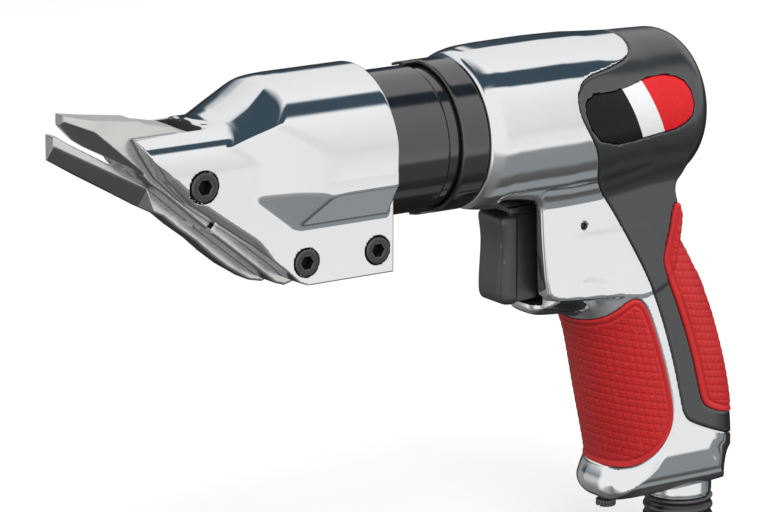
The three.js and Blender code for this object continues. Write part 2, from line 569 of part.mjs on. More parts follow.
// ball bearing as one ring, with a groove between its races on the front face
function makeBearing(x0, x1, innerR, outerR) {
  const grooveInnerR = innerR + (outerR - innerR) * 0.34;
  const grooveOuterR = innerR + (outerR - innerR) * 0.66;
  const grooveX = x0 + 0.6;
  return turnedRing([[x0, innerR], [x0, grooveInnerR], [grooveX, grooveInnerR],
    [grooveX, grooveOuterR], [x0, grooveOuterR], [x0, outerR], [x1, outerR], [x1, innerR]], 24);
}

// ---------------------------------------------------------------- planets and eccentric spindle
const PLANET_COUNT = 3;
const PLANET_PIN_R = 1.5;
const SPINDLE_R = 6.95;
const CRANK_R = 3;
const CRANK_AT = [0, 0, -ECCENTRIC_THROW];
const planetAngle = (k) => k * 120 * DEG + 90 * DEG;
const planetCentre = (k) => polar(CARRIER_R, planetAngle(k));

const makeRingGear = () => plateYZ(polygon(36, 17.05), -26.4, -13.8,
  [gearOutline(GEAR.ring, Math.PI / GEAR.ring, 1, true)]);

function makePlanet(k) {
  const [y, z] = planetCentre(k);
  const outline = gearOutline(GEAR.planet, planetAngle(k) + Math.PI / GEAR.planet, 2)
    .map(([u, v]) => [u + y, v + z]);
  return plateYZ(outline, -25.8, -14.4, [polygon(20, PLANET_PIN_R + 0.08, y, z)]);
}
const makePlanetPin = (k) =>
  rod(-29.4, -14.2, PLANET_PIN_R, 20, 'x', [0, ...planetCentre(k)]);

function makeSpindle() {
  const body = turned([[-43.9, 0], [-43.9, SPINDLE_R], [-30.6, SPINDLE_R], [-30.6, 15],
    [-26.4, 15], [-26.4, 0]], 28);
  const crank = rod(-51.6, -43.5, CRANK_R, 24, 'x', CRANK_AT);
  const pinHoles = Array.from({ length: PLANET_COUNT }, (_, k) =>
    rod(-32, -25, PLANET_PIN_R + 0.06, 20, 'x', [0, ...planetCentre(k)]));
  return cut(add(body, crank), ...pinHoles);
}
const makeRoller = () => tube(-51.2, -45.2, CRANK_R + 0.1, 5.5, 24, 'x', CRANK_AT);

// ---------------------------------------------------------------- base fittings
function makeInletBushing() {
  const [boreR, stemR, shoulderR] = [5.6, 8.1, 9.2];
  const groove = { count: 3, pitch: 3.1, land: 2.2, depth: 0.7 };
  const grooveR = INLET.radius - groove.depth;
  const firstZ = INLET.top - 0.1;
  const profile = [[-105, boreR], [-105, stemR], [-118.4, stemR], [-118.4, shoulderR],
    [firstZ, shoulderR]];
  for (let i = 0; i < groove.count; i++) {
    const z = firstZ - i * groove.pitch;
    profile.push([z, INLET.radius], [z - groove.land, INLET.radius],
      [z - groove.land, grooveR], [z - groove.pitch, grooveR]);
  }
  profile.push([firstZ - groove.count * groove.pitch, INLET.radius],
    [INLET.bottom, INLET.radius], [INLET.bottom, boreR]);
  return turnedRing(profile, 24, 'z', [INLET.x, 0, 0]);
}
const makeInletRing = () => tube(-121.1, -118.2, 9.5, 12.4, 32, 'z', [INLET.x, 0, 0]);

function makeKnob() {
  const fluteDepth = 0.28;
  const outline = Array.from({ length: 32 }, (_, i) =>
    polar(KNOB.radius - (i % 2 ? fluteDepth : 0), (2 * Math.PI * i) / 32, KNOB.x));
  return add(plateXY(outline, -121.6, -118.3),
    rod(-118.6, -110.5, KNOB.stemR, 20, 'z', [KNOB.x, 0, 0]));
}

// ---------------------------------------------------------------- materials
const FINISH = {
  polished: { color: 0xd8dadd, roughness: 0.12, metalness: 1 },
  ground: { color: 0x9a9a98, roughness: 0.35, metalness: 1 },
  blackOxide: { color: 0x1d1e20, roughness: 0.4, metalness: 0.8 },
  blackGloss: { color: 0x131416, roughness: 0.22, metalness: 0.6 },
  softBlack: { color: 0x35393d, roughness: 0.6, metalness: 0 },
  red: { color: 0xcf2227, roughness: 0.6, metalness: 0 },
  trigger: { color: 0x2e2f32, roughness: 0.45, metalness: 0 },
  steel: { color: 0xa8aaac, roughness: 0.3, metalness: 1 },
  bronze: { color: 0xb08a4a, roughness: 0.4, metalness: 1 },
  vane: { color: 0x7a5230, roughness: 0.7, metalness: 0 },
  seal: { color: 0x151515, roughness: 0.8, metalness: 0 },
  felt: { color: 0x8d8a80, roughness: 1, metalness: 0 },
};

// ---------------------------------------------------------------- assembly
const group = new THREE.Group();
group.name = 'air_metal_shear';
group.position.x = -REAR_X;

function place(name, solid, finish) {
  const mesh = new THREE.Mesh(toGeometry(solid), new THREE.MeshStandardMaterial(finish));
  mesh.name = name;
  group.add(mesh);
}
function placeEach(name, count, make, finish) {
  for (let k = 0; k < count; k++) place(`${name}_${k + 1}`, make(k), finish);
}

place('shear_head', makeHead(), FINISH.polished);
place('moving_blade', makeMovingBlade(), FINISH.ground);
place('fixed_blade', makeFixedBlade(), FINISH.ground);
place('blade_spacer', makeSpacer(), FINISH.ground);
place('pivot_bushing', makePivotBushing(), FINISH.bronze);
place('pivot_screw', makeCapScrew(PIVOT), FINISH.blackOxide);
place('clamp_screw_front', makeCapScrew(CLAMP_FRONT), FINISH.blackOxide);
place('clamp_screw_rear', makeCapScrew(CLAMP_REAR), FINISH.blackOxide);
place('pivot_nut', makeHexNut(PIVOT), FINISH.blackOxide);
place('clamp_nut_front', makeHexNut(CLAMP_FRONT), FINISH.blackOxide);
place('clamp_nut_rear', makeHexNut(CLAMP_REAR), FINISH.blackOxide);
place('gear_case', makeGearCase(), FINISH.blackGloss);
place('barrel_clamp_nut', makeClampNut(), FINISH.blackGloss);
place('motor_housing', makeHousing(), FINISH.polished);
place('rear_cover', makeRearCover(), FINISH.softBlack);
place('front_grip', makeFrontGrip(), FINISH.red);
place('rear_grip', makeRearGrip(), FINISH.red);
place('badge_near', makeBadge(-1), FINISH.softBlack);
place('badge_far', makeBadge(1), FINISH.softBlack);
place('trigger', makeTrigger(), FINISH.trigger);
place('valve_stem', makeStem(), FINISH.steel);
place('valve_bushing', makeValveBushing(), FINISH.bronze);
place('valve_spring', makeSpring(), FINISH.steel);
place('valve_seal', makeValveSeal(), FINISH.seal);
place('trigger_pin', makeTriggerPin(), FINISH.blackOxide);
place('motor_cylinder', makeCylinder(), FINISH.steel);
place('front_end_plate', makeFrontPlate(), FINISH.steel);
place('rear_end_plate', makeRearPlate(), FINISH.steel);
place('front_rotor_bearing', makeBearing(-4, 0.8, 5.65, 8.25), FINISH.steel);
place('rear_rotor_bearing', makeBearing(50.6, 54.6, 4.11, 8), FINISH.steel);
place('rotor', makeRotor(), FINISH.steel);
placeEach('vane', VANE_COUNT, makeVane, FINISH.vane);
place('ring_gear', makeRingGear(), FINISH.steel);
placeEach('planet_gear', PLANET_COUNT, makePlanet, FINISH.steel);
placeEach('planet_pin', PLANET_COUNT, makePlanetPin, FINISH.steel);
place('drive_spindle', makeSpindle(), FINISH.steel);
place('spindle_bearing', makeBearing(-38.6, -31.2, 7.03, 13), FINISH.steel);
place('eccentric_roller', makeRoller(), FINISH.steel);
place('inlet_bushing', makeInletBushing(), FINISH.blackOxide);
place('inlet_ring', makeInletRing(), FINISH.polished);
place('regulator_knob', makeKnob(), FINISH.blackOxide);
place('silencer_felt', makeSilencerFelt(), FINISH.felt);

export default group;
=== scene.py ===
"""Pistol-grip power shear.

Shapes are written in millimetres: the barrel lies along X with the blades towards -X, the handle
hangs towards -Z, and x = 0 is the housing's front face. "Near" is the -Y side, "far" the +Y side.
Finished meshes are in metres, with their origin on the barrel axis at its rear face.
"""

from collections import namedtuple
from functools import reduce
import json
import math

import bpy
import numpy as np
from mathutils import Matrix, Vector


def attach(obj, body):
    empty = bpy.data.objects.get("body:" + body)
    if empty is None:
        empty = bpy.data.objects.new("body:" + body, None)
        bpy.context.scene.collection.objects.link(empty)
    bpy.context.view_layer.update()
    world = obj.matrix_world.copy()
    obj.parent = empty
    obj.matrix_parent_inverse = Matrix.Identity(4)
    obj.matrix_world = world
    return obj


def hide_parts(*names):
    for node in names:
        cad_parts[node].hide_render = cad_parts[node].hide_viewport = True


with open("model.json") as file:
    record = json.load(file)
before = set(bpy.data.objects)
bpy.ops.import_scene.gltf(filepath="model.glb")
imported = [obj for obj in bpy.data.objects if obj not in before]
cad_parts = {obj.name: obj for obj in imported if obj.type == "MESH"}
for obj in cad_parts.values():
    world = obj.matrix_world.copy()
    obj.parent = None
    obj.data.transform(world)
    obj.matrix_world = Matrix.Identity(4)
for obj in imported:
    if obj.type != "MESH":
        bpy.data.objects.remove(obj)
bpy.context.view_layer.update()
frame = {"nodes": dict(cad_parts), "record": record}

# ------------------------------------------------------------------ driving sizes (mm)
REAR_X = 80.5                # rear face of the barrel
COVER_DEPTH = 2.3            # thickness of the rear cover and the grips
CORE_DEPTH = 2.45            # depth of the housing's core under them
BADGE_MIN_Y = 12             # the badges lie only beyond this distance from the middle plane
INLET_X = 85                 # vertical axis of the inlet fittings
KNOB_X = 58                  # vertical axis of the regulator knob
VALVE_Z = -37                # axis of the bores behind the trigger, along X
PIN_X, PIN_Z = 37.5, -29.4   # trigger pin, along Y
HEAD_HALF_WIDTH = 18

# Screws lie along Y. Radii: screw head and shank, their bores in the head, corners of the nut pocket.
Screw = namedtuple("Screw", "name x z head shank head_bore shank_bore nut")
PIVOT = Screw("pivot_screw", -92, -.7, 4.2, 2.95, 4.6, 3.1, 5.9)
CLAMPS = [Screw("clamp_screw_front", -59.2, -26.2, 3.8, 2.45, 4.15, 2.6, 4.9),
          Screw("clamp_screw_rear", -35.7, -25.9, 3.8, 2.45, 4.15, 2.6, 4.9)]
SCREWS = [PIVOT, *CLAMPS]


# ------------------------------------------------------------------ distance fields
# A field gives the distance to a surface at points x, y, z: negative inside, positive outside.
def meet(*fields):
    """What all the fields share, with sharp edges."""
    return reduce(np.maximum, fields)


def join(*fields):
    """Everything in any of the fields, with sharp corners."""
    return reduce(np.minimum, fields)


def soft_meet(first, second, radius):
    """What both fields share, with its edges rounded."""
    over_1 = np.maximum(radius + first, 0)
    over_2 = np.maximum(radius + second, 0)
    return (np.minimum(np.maximum(first, second), -radius)
            + np.sqrt(over_1 * over_1 + over_2 * over_2))


def soft_join(first, second, radius):
    """Both fields together, with a fillet between them."""
    under_1 = np.maximum(radius - first, 0)
    under_2 = np.maximum(radius - second, 0)
    return (np.maximum(np.minimum(first, second), radius)
            - np.sqrt(under_1 * under_1 + under_2 * under_2))


def cut(shape, tool, radius):
    return soft_meet(shape, -tool, radius)


def between(value, low, high):
    return np.maximum(low - value, value - high)


def circle(across, up, radius=0):
    return np.sqrt(across * across + up * up) - radius


def turned(radial, along, radius, low, high, rounding=None):
    """Cylinder between two stations on its axis; its rims are sharp unless a rounding is given."""
    side, ends = radial - radius, between(along, low, high)
    return meet(side, ends) if rounding is None else soft_meet(side, ends, rounding)


def hexagon(across, up, corner_radius):
    """Regular hexagon with flats above and below."""
    return meet(np.abs(up), np.abs(across * .86603 + up * .5),
                np.abs(across * .86603 - up * .5)) - corner_radius * .866


def rod(x, y, z, start, end, radius):
    """Flat-ended cylinder from one point to another."""
    start = np.array(start, float)
    axis = np.array(end, float) - start
    length = np.linalg.norm(axis)
    axis /= length
    dx, dy, dz = x - start[0], y - start[1], z - start[2]
    along = dx * axis[0] + dy * axis[1] + dz * axis[2]
    squared = ((dx - along * axis[0]) ** 2 + (dy - along * axis[1]) ** 2
               + (dz - along * axis[2]) ** 2)
    radial = np.sqrt(np.maximum(squared, 1e-12)) - radius
    return meet(radial, -along, along - length)


def facet(points, outside):
    """Field of the plane through three points, positive on the side of the outside point."""
    origin, second, third = map(np.array, points)
    normal = np.cross(second - origin, third - origin).astype(float)
    normal /= np.linalg.norm(normal)

    def distance(x, y, z):
        return ((x - origin[0]) * normal[0] + (y - origin[1]) * normal[1]
                + (z - origin[2]) * normal[2])
    sign = np.sign(distance(*outside))
    return lambda x, y, z: distance(x, y, z) * sign


def smooth_step(start, end, value):
    share = np.clip((value - start) / (end - start), 0, 1)
    return share * share * (3 - 2 * share)


def cut_corners(points, rounds, keep):
    """Rounds a closed outline by cutting corners; corners listed in keep stay where they are."""
    points = [(float(p[0]), float(p[1]), i in keep) for i, p in enumerate(points)]
    for _ in range(rounds):
        finer = []
        for here, after in zip(points, points[1:] + points[:1]):
            if here[2]:
                finer.append(here)
            else:
                finer.append((here[0] * .75 + after[0] * .25,
                              here[1] * .75 + after[1] * .25, False))
            if not after[2]:
                finer.append((here[0] * .25 + after[0] * .75,
                              here[1] * .25 + after[1] * .75, False))
        points = finer
    return [(p[0], p[1]) for p in points]


def spline_weights(share):
    """Cubic B-spline weights of the four samples around a place between two of them."""
    return ((1 - share) ** 3 / 6, (3 * share ** 3 - 6 * share ** 2 + 4) / 6,
            (-3 * share ** 3 + 3 * share ** 2 + 3 * share + 1) / 6, share ** 3 / 6)


class Outline:
    """Signed distance to a closed outline in the XZ plane, read from a table of samples."""

    fine = False    # True reads every table with smooth instead of linear interpolation

    def __init__(self, points, rounds=0, keep=(), step=0.3, pad=14.0):
        points = np.array(cut_corners(points, rounds, keep), float)
        low, high = points.min(0) - pad, points.max(0) + pad
        count = np.ceil((high - low) / step).astype(int) + 2
        grid_x, grid_z = np.meshgrid(low[0] + step * np.arange(count[0]),
                                     low[1] + step * np.arange(count[1]), indexing="ij")
        nearest = np.full(grid_x.shape, 1e18)
        inside = np.zeros(grid_x.shape, bool)
        for (ax, az), (bx, bz) in zip(points, np.roll(points, -1, 0)):
            edge_x, edge_z = bx - ax, bz - az
            squared = edge_x * edge_x + edge_z * edge_z
            dx, dz = grid_x - ax, grid_z - az
            share = np.clip((dx * edge_x + dz * edge_z) / squared, 0, 1)
            nearest = np.minimum(nearest,
                                 (dx - edge_x * share) ** 2 + (dz - edge_z * share) ** 2)
            if az != bz:
                inside ^= (((az <= grid_z) != (bz <= grid_z))
                           & (grid_x < ax + edge_x * (grid_z - az) / edge_z))
        self.table = (np.sqrt(nearest) * np.where(inside, -1, 1)).astype(np.float32)
        self.low, self.step, self.count = low, step, count

    def __call__(self, x, z):
        col = (np.asarray(x, np.float64) - self.low[0]) / self.step
        row = (np.asarray(z, np.float64) - self.low[1]) / self.step
        col_in = np.clip(col, 1.001, self.count[0] - 3.001)
        row_in = np.clip(row, 1.001, self.count[1] - 3.001)
        beyond = np.sqrt((col - col_in) ** 2 + (row - row_in) ** 2) * self.step
        i, j = col_in.astype(np.int32), row_in.astype(np.int32)
        part_x, part_z = col_in - i, row_in - j
        table = self.table
        if Outline.fine:
            weights_x, weights_z = spline_weights(part_x), spline_weights(part_z)
            result = 0
            for p in range(4):
                for q in range(4):
                    result = result + table[i + p - 1, j + q - 1] * weights_x[p] * weights_z[q]
        else:
            result = (table[i, j] * (1 - part_x) * (1 - part_z)
                      + table[i + 1, j] * part_x * (1 - part_z)
                      + table[i, j + 1] * (1 - part_x) * part_z
                      + table[i + 1, j + 1] * part_x * part_z)
        return result + beyond * .9


class Profile:
    """Smooth function of one number through given points; blur is a length along the input."""

    SAMPLES = 800

    def __init__(self, points, blur):
        points = np.array(points, float)
        first, last = points[0, 0], points[-1, 0]
        self.places = np.linspace(first, last, self.SAMPLES)
        values = np.interp(self.places, points[:, 0], points[:, 1])
        width = max(3, int(self.SAMPLES * blur / (last - first)) | 1)
        kernel = np.hanning(width + 2)[1:-1]
        kernel /= kernel.sum()
        self.values = np.convolve(np.pad(values, width // 2, mode="edge"), kernel, mode="valid")

    def __call__(self, place):
        return np.interp(place, self.places, self.values)


# ------------------------------------------------------------------ meshes from fields
BLOCK = 10           # samples along each side of a block
BATCH = 250          # blocks sampled at a time
MARGIN = 2.2         # cells added around the given box
SLOPE_STEP, NORMAL_STEP = .02, .04    # mm, for the slopes that move vertices and give normals
CORNERS = [(i, j, k) for i in (0, 1) for j in (0, 1) for k in (0, 1)]


def grid_index(counts):
    return np.stack(np.meshgrid(*map(np.arange, counts), indexing="ij"), -1).reshape(-1, 3)


def sample_field(field, low, high, cell):
    """Field values on a grid; blocks well clear of the surface are just filled with 1 or -1."""
    count = np.ceil((high - low) / cell).astype(int) + 1
    blocks = np.ceil(count / BLOCK).astype(int)
    values = np.ones(blocks * BLOCK, np.float32)
    index = grid_index(blocks)
    centres = low + (index * BLOCK + (BLOCK - 1) / 2) * cell
    at_centre = field(*centres.T)
    # half a block's diagonal, with some allowance for fields that are not true distances
    near = np.abs(at_centre) < BLOCK * cell * .5 * 1.7321 * 1.25 + cell
    by_block = values.reshape(blocks[0], BLOCK, blocks[1], BLOCK, blocks[2], BLOCK)
    for (i, j, k), value in zip(index[~near], at_centre[~near]):
        if value < 0:
            by_block[i, :, j, :, k, :] = -1
    offsets = grid_index((BLOCK,) * 3)
    near_blocks = index[near]
    for start in range(0, len(near_blocks), BATCH):
        batch = near_blocks[start:start + BATCH]
        points = (low + (batch[:, None, :] * BLOCK + offsets[None]) * cell).reshape(-1, 3)
        sampled = field(*points.T).reshape(len(batch), BLOCK, BLOCK, BLOCK)
        for (i, j, k), block in zip(batch, sampled):
            by_block[i, :, j, :, k, :] = block
    return values


def cell_vertices(values, low, cell):
    """A vertex for each crossed cell, at the mean of its edge crossings, and the cells' numbers."""
    inside = values < 0
    nx, ny, nz = np.array(inside.shape) - 1
    corners_in = np.zeros((nx, ny, nz), np.int8)
    for i, j, k in CORNERS:
        corners_in += inside[i:nx + i, j:ny + j, k:nz + k]
    crossed_cell = (corners_in > 0) & (corners_in < 8)
    cells = np.stack(np.nonzero(crossed_cell), -1)
    number = np.full(crossed_cell.shape, -1, np.int32)
    number[crossed_cell] = np.arange(len(cells))
    total = np.zeros((len(cells), 3))
    hits = np.zeros(len(cells))
    corner_values = {c: values[tuple((cells + c).T)] for c in CORNERS}
    for corner in CORNERS:
        for axis in range(3):
            if corner[axis]:
                continue
            far_corner = corner[:axis] + (1,) + corner[axis + 1:]
            start, end = corner_values[corner], corner_values[far_corner]
            crossed = (start < 0) != (end < 0)
            share = start / np.where(crossed, start - end, 1)
            place = np.array(corner, float)[None].repeat(len(cells), 0)
            place[:, axis] += share
            total[crossed] += place[crossed]
            hits += crossed
    return low + cell * (cells + total / np.maximum(hits, 1)[:, None]), number


def cell_quads(inside, number):
    """A quad round each grid edge that crosses the surface, joining the four cells beside it."""
    quads = []
    for axis in range(3):
        side, other = (axis + 1) % 3, (axis + 2) % 3
        length = inside.shape[axis]
        lower = inside.take(range(length - 1), axis)
        upper = inside.take(range(1, length), axis)
        for outwards in (True, False):
            edges = np.stack(np.nonzero((lower != upper) & (lower == outwards)), -1)
            for way in (side, other):
                edges = edges[(edges[:, way] > 0) & (edges[:, way] < number.shape[way])]
            around = []
            for i, j in ((-1, -1), (0, -1), (0, 0), (-1, 0)):
                cells = edges.copy()
                cells[:, side] += i
                cells[:, other] += j
                around.append(number[tuple(cells.T)])
            quad = np.stack(around, -1)
            quads.append(quad if outwards else quad[:, ::-1])
    quads = np.concatenate(quads)
    return quads[(quads >= 0).all(1)]


def gradient(field, points, step):
    x, y, z = points.T
    return np.stack([field(x + step, y, z) - field(x - step, y, z),
                     field(x, y + step, z) - field(x, y - step, z),
                     field(x, y, z + step) - field(x, y, z - step)], -1) / (2 * step)


def project(field, points, cell, times):
    """Moves the vertices on to the surface, by at most .4 of a cell times the slope each time."""
    for _ in range(times):
        slope = gradient(field, points, SLOPE_STEP)
        move = field(*points.T) / np.maximum((slope * slope).sum(1), .3)
        points = points - np.clip(move, -.4 * cell, .4 * cell)[:, None] * slope
    return points


def settle(field, points, quads, cell, passes):
    """Evens the vertices out and puts them back on the surface. Returns them and their normals."""
    starts, ends = quads.T.ravel(), np.roll(quads, -1, 1).T.ravel()
    size = len(points)
    degree = np.maximum(np.bincount(starts, minlength=size)
                        + np.bincount(ends, minlength=size), 1)
    Outline.fine = True
    points = project(field, points, cell, 2)
    for _ in range(passes):
        sums = np.stack([np.bincount(starts, points[ends, k], size)
                         + np.bincount(ends, points[starts, k], size) for k in range(3)], -1)
        points = points + .45 * (sums / degree[:, None] - points)
        points = project(field, points, cell, 1)
    points = project(field, points, cell, 1)
    slope = gradient(field, points, NORMAL_STEP)
    Outline.fine = False
    return points, slope / np.maximum(np.linalg.norm(slope, axis=1), 1e-9)[:, None]


def surface(field, low, high, cell, passes):
    """Vertices, quads and normals of the surface where the field is zero, within a box."""
    low = np.array(low, float) - MARGIN * cell
    high = np.array(high, float) + MARGIN * cell
    values = sample_field(field, low, high, cell)
    points, number = cell_vertices(values, low, cell)
    quads = cell_quads(values < 0, number)
    points, normals = settle(field, points, quads, cell, passes)
    used = np.zeros(len(points), bool)
    used[quads.ravel()] = True
    return points[used], (np.cumsum(used) - 1)[quads], normals[used]


def to_row(points):
    """Millimetres from the front face to metres from the rear face."""
    return (points - np.array([REAR_X, 0, 0])) / 1000.0


def mesh_object(name, points, quads, normals):
    mesh = bpy.data.meshes.new(name)
    mesh.vertices.add(len(points))
    mesh.vertices.foreach_set("co", to_row(points).astype(np.float32).ravel())
    quads = quads.astype(np.int32)
    mesh.loops.add(quads.size)
    mesh.loops.foreach_set("vertex_index", quads.ravel())
    mesh.polygons.add(len(quads))
    mesh.polygons.foreach_set("loop_start", np.arange(0, quads.size, 4, dtype=np.int32))
    mesh.polygons.foreach_set("loop_total", np.full(len(quads), 4, np.int32))
    mesh.polygons.foreach_set("use_smooth", np.ones(len(quads), bool))
    mesh.update(calc_edges=True)
    mesh.validate()
    if len(mesh.vertices) == len(normals):
        mesh.normals_split_custom_set_from_vertices(normals.astype(np.float32).tolist())
    made = bpy.data.objects.new(name, mesh)
    bpy.context.scene.collection.objects.link(made)
    return made


def piece(name, field, low, high, cell, slot, node, body="tool_body", passes=2, second=None):
    """Builds one piece; second is a further material's key and a test of where it goes."""
    points, quads, normals = surface(field, low, high, cell, passes)
    made = mesh_object(name, points, quads, normals)
    made.data.materials.append(MATERIALS[slot])
    if second:
        key, test = second
        made.data.materials.append(MATERIALS[key])
        centres = points[quads].mean(1)
        # validate() may have dropped a face, and then the faces no longer match the centres
        if len(made.data.polygons) == len(centres):
            made.data.polygons.foreach_set("material_index", test(*centres.T).astype(np.int32))
    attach(made, body)
    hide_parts(node)
    return made


# ------------------------------------------------------------------ shader graphs
class Graph:
    """Short helpers for building a node tree. Any value may be a number, a colour or a socket."""

    def __init__(self, tree):
        self.tree = tree
        for node in list(tree.nodes):
            tree.nodes.remove(node)

    def new(self, kind, **settings):
        node = self.tree.nodes.new(kind)
        for key, value in settings.items():
            setattr(node, key, value)
        return node

    def put(self, socket, value):
        if isinstance(value, bpy.types.NodeSocket):
            self.tree.links.new(value, socket)
        else:
            socket.default_value = (*value, 1) if isinstance(value, tuple) else value

    def math(self, operation, first, second):
        node = self.new("ShaderNodeMath", operation=operation)
        self.put(node.inputs[0], first)
        self.put(node.inputs[1], second)
        return node.outputs[0]

    def mix(self, share, first, second):
        node = self.new("ShaderNodeMix", data_type="RGBA")
        for slot, value in ((0, share), (6, first), (7, second)):
            self.put(node.inputs[slot], value)
        return node.outputs[2]

    def ramp(self, value, *stops):
        """Stops are (position, grey level or colour)."""
        node = self.new("ShaderNodeValToRGB")
        elements = node.color_ramp.elements
        while len(elements) < len(stops):
            elements.new(.5)
        for element, (position, tone) in zip(elements, stops):
            element.position = position
            element.color = (*tone, 1) if isinstance(tone, tuple) else (tone, tone, tone, 1)
        self.put(node.inputs[0], value)
        return node.outputs[0]

    def split(self, vector):
        node = self.new("ShaderNodeSeparateXYZ")
        self.put(node.inputs[0], vector)
        return node.outputs


class Material(Graph):
    def __init__(self, name):
        self.material = bpy.data.materials.new(name)
        self.material.use_nodes = True
        super().__init__(self.material.node_tree)
        output = self.new("ShaderNodeOutputMaterial")
        self.shader = self.new("ShaderNodeBsdfPrincipled")
        self.put(output.inputs[0], self.shader.outputs[0])
        self.place = self.new("ShaderNodeTexCoord").outputs["Object"]

    def noise(self, scale, detail=3, rough=.5, vector=None):
        node = self.new("ShaderNodeTexNoise")
        node.inputs["Scale"].default_value = scale
        node.inputs["Detail"].default_value = detail
        node.inputs["Roughness"].default_value = rough
        self.put(node.inputs["Vector"], self.place if vector is None else vector)
        return node.outputs["Fac"]

    def stretch(self, scale, turn_y=0):
        node = self.new("ShaderNodeMapping")
        node.inputs["Scale"].default_value = scale
        node.inputs["Rotation"].default_value = (0, turn_y, 0)
        self.put(node.inputs["Vector"], self.place)
        return node.outputs[0]

    def bump(self, height, strength, distance, under=None):
        node = self.new("ShaderNodeBump")
        node.inputs["Strength"].default_value = strength
        node.inputs["Distance"].default_value = distance
        self.put(node.inputs["Height"], height)
        if under is not None:
            self.put(node.inputs["Normal"], under)
        return node.outputs[0]

    def edge(self, low, high):
        """Worn edges: bright where the surface is sharply convex."""
        geometry = self.new("ShaderNodeNewGeometry")
        return self.ramp(geometry.outputs["Pointiness"], (low, 0.0), (high, 1.0))

    def worn(self, low, high, share):
        return self.math("MULTIPLY", self.edge(low, high), share)

    def finish(self, **inputs):
        for key, value in inputs.items():
            self.put(self.shader.inputs[key.replace("_", " ")], value)
        return self.material


# ------------------------------------------------------------------ materials
# Noise scales are per metre and bump distances in metres. Colours come in pairs, low noise first.
def polished():
    mat = Material("polished_aluminium")
    broad = mat.noise(scale=28)
    fine = mat.noise(scale=900, detail=2, rough=.6)
    smear = mat.noise(scale=60, detail=4, rough=.6, vector=mat.stretch((1, 3, 3)))
    color = mat.mix(broad, (.80, .815, .83), (.87, .88, .89))
    rough = mat.math("ADD", mat.ramp(smear, (.35, .045), (.75, .10)),
                     mat.math("MULTIPLY", fine, .02))
    waves = mat.bump(broad, strength=.06, distance=.0006)
    normal = mat.bump(fine, strength=.02, distance=.00006, under=waves)
    return mat.finish(Base_Color=color, Roughness=rough, Metallic=1.0, Normal=normal)


def ground(name, low_color, high_color):
    """Steel with slanting grinding marks, rougher where it faces up."""
    mat = Material(name)
    marks = mat.noise(scale=1.0, rough=.6, vector=mat.stretch((140, 140, 1500), turn_y=.6))
    cloud = mat.noise(scale=45, detail=4, rough=.6)
    color = mat.mix(cloud, low_color, high_color)
    color = mat.mix(mat.worn(low=.51, high=.57, share=.5), color, (.72, .71, .70))
    rough = mat.ramp(marks, (.3, .13), (.7, .25))
    split = mat.new("ShaderNodeSeparateXYZ")
    mat.put(split.inputs[0], mat.new("ShaderNodeNewGeometry").outputs["Normal"])
    rough = mat.math("MAXIMUM", rough, mat.ramp(split.outputs[2], (.6, 0.0), (.8, .55)))
    return mat.finish(Base_Color=color, Roughness=rough, Metallic=1.0,
                      Normal=mat.bump(marks, strength=.06, distance=.00004))


def black_gloss():
    mat = Material("gloss_black")
    rings = mat.noise(scale=1.0, detail=2, rough=.6, vector=mat.stretch((2400, 60, 60)))
    dust = mat.noise(scale=340, detail=5, rough=.7)
    color = mat.mix(mat.edge(low=.52, high=.6), (.006, .0065, .008), (.03, .03, .033))
    rough = mat.math("ADD", mat.ramp(dust, (.4, .07), (.8, .15)),
                     mat.math("MULTIPLY", rings, .04))
    return mat.finish(Base_Color=color, Roughness=rough, Metallic=0.0, IOR=2.0,
                      Normal=mat.bump(rings, strength=.05, distance=.00003))


def black_oxide():
    mat = Material("black_oxide")
    fine = mat.noise(scale=700, detail=4, rough=.7)
    color = mat.mix(mat.worn(low=.5, high=.58, share=.6), (.07, .07, .072), (.26, .26, .26))
    return mat.finish(Base_Color=color, Roughness=mat.ramp(fine, (.3, .26), (.7, .42)),
                      Metallic=.9, Normal=mat.bump(fine, strength=.15, distance=.00005))


# Settings of one moulded material: its fine grain, its cloudy colour, its worn edges as
# (low, high, share, colour), the roughness at low and high noise, the bump and other inputs.
def moulded(name, grain, cloud_scale, cloud_detail, colors, wear, rough, strength, distance,
            **inputs):
    mat = Material(name)
    grain = mat.noise(**grain)
    cloud = mat.noise(scale=cloud_scale, detail=cloud_detail, rough=.6)
    color = mat.mix(cloud, *colors)
    color = mat.mix(mat.worn(*wear[:3]), color, wear[3])
    return mat.finish(Base_Color=color, Roughness=mat.ramp(cloud, (.3, rough[0]), (.7, rough[1])),
                      Metallic=0.0, Normal=mat.bump(grain, strength, distance), **inputs)


def soft_black():
    return moulded("soft_touch_dark", grain=dict(scale=2600, detail=2, rough=.5),
                   cloud_scale=40, cloud_detail=4,
                   colors=((.008, .0095, .011), (.013, .015, .017)),
                   wear=(.51, .58, .4, (.06, .063, .067)), rough=(.24, .30),
                   strength=.08, distance=.00004, IOR=1.9)


def red_rubber():
    return moulded("red_rubber", grain=dict(scale=1900, detail=3, rough=.6),
                   cloud_scale=60, cloud_detail=4,
                   colors=((.42, .008, .010), (.54, .013, .014)),
                   wear=(.5, .56, .35, (.74, .045, .035)), rough=(.34, .46),
                   strength=.12, distance=.00005, Specular_IOR_Level=.4)


def trigger_plastic():
    return moulded("trigger_plastic", grain=dict(scale=1500, detail=3, rough=.6),
                   cloud_scale=80, cloud_detail=3,
                   colors=((.020, .021, .024), (.030, .032, .036)),
                   wear=(.51, .58, .6, (.12, .12, .125)), rough=(.30, .40),
                   strength=.10, distance=.00005, IOR=1.75)


# Rough as-cast grain on faces inside the surfaces, in a near-black colour that is painted shade for
# the bores, recesses and blade slot.
def cast_painted_shade_inside():
    mat = Material("as_cast_painted_shade_inside")
    fine = mat.noise(scale=900, detail=5, rough=.7)
    return mat.finish(Base_Color=mat.mix(fine, (.030, .031, .033), (.06, .062, .065)),
                      Roughness=mat.ramp(fine, (.3, .6), (.7, .8)), Metallic=.3,
                      Normal=mat.bump(fine, strength=.4, distance=.0001))


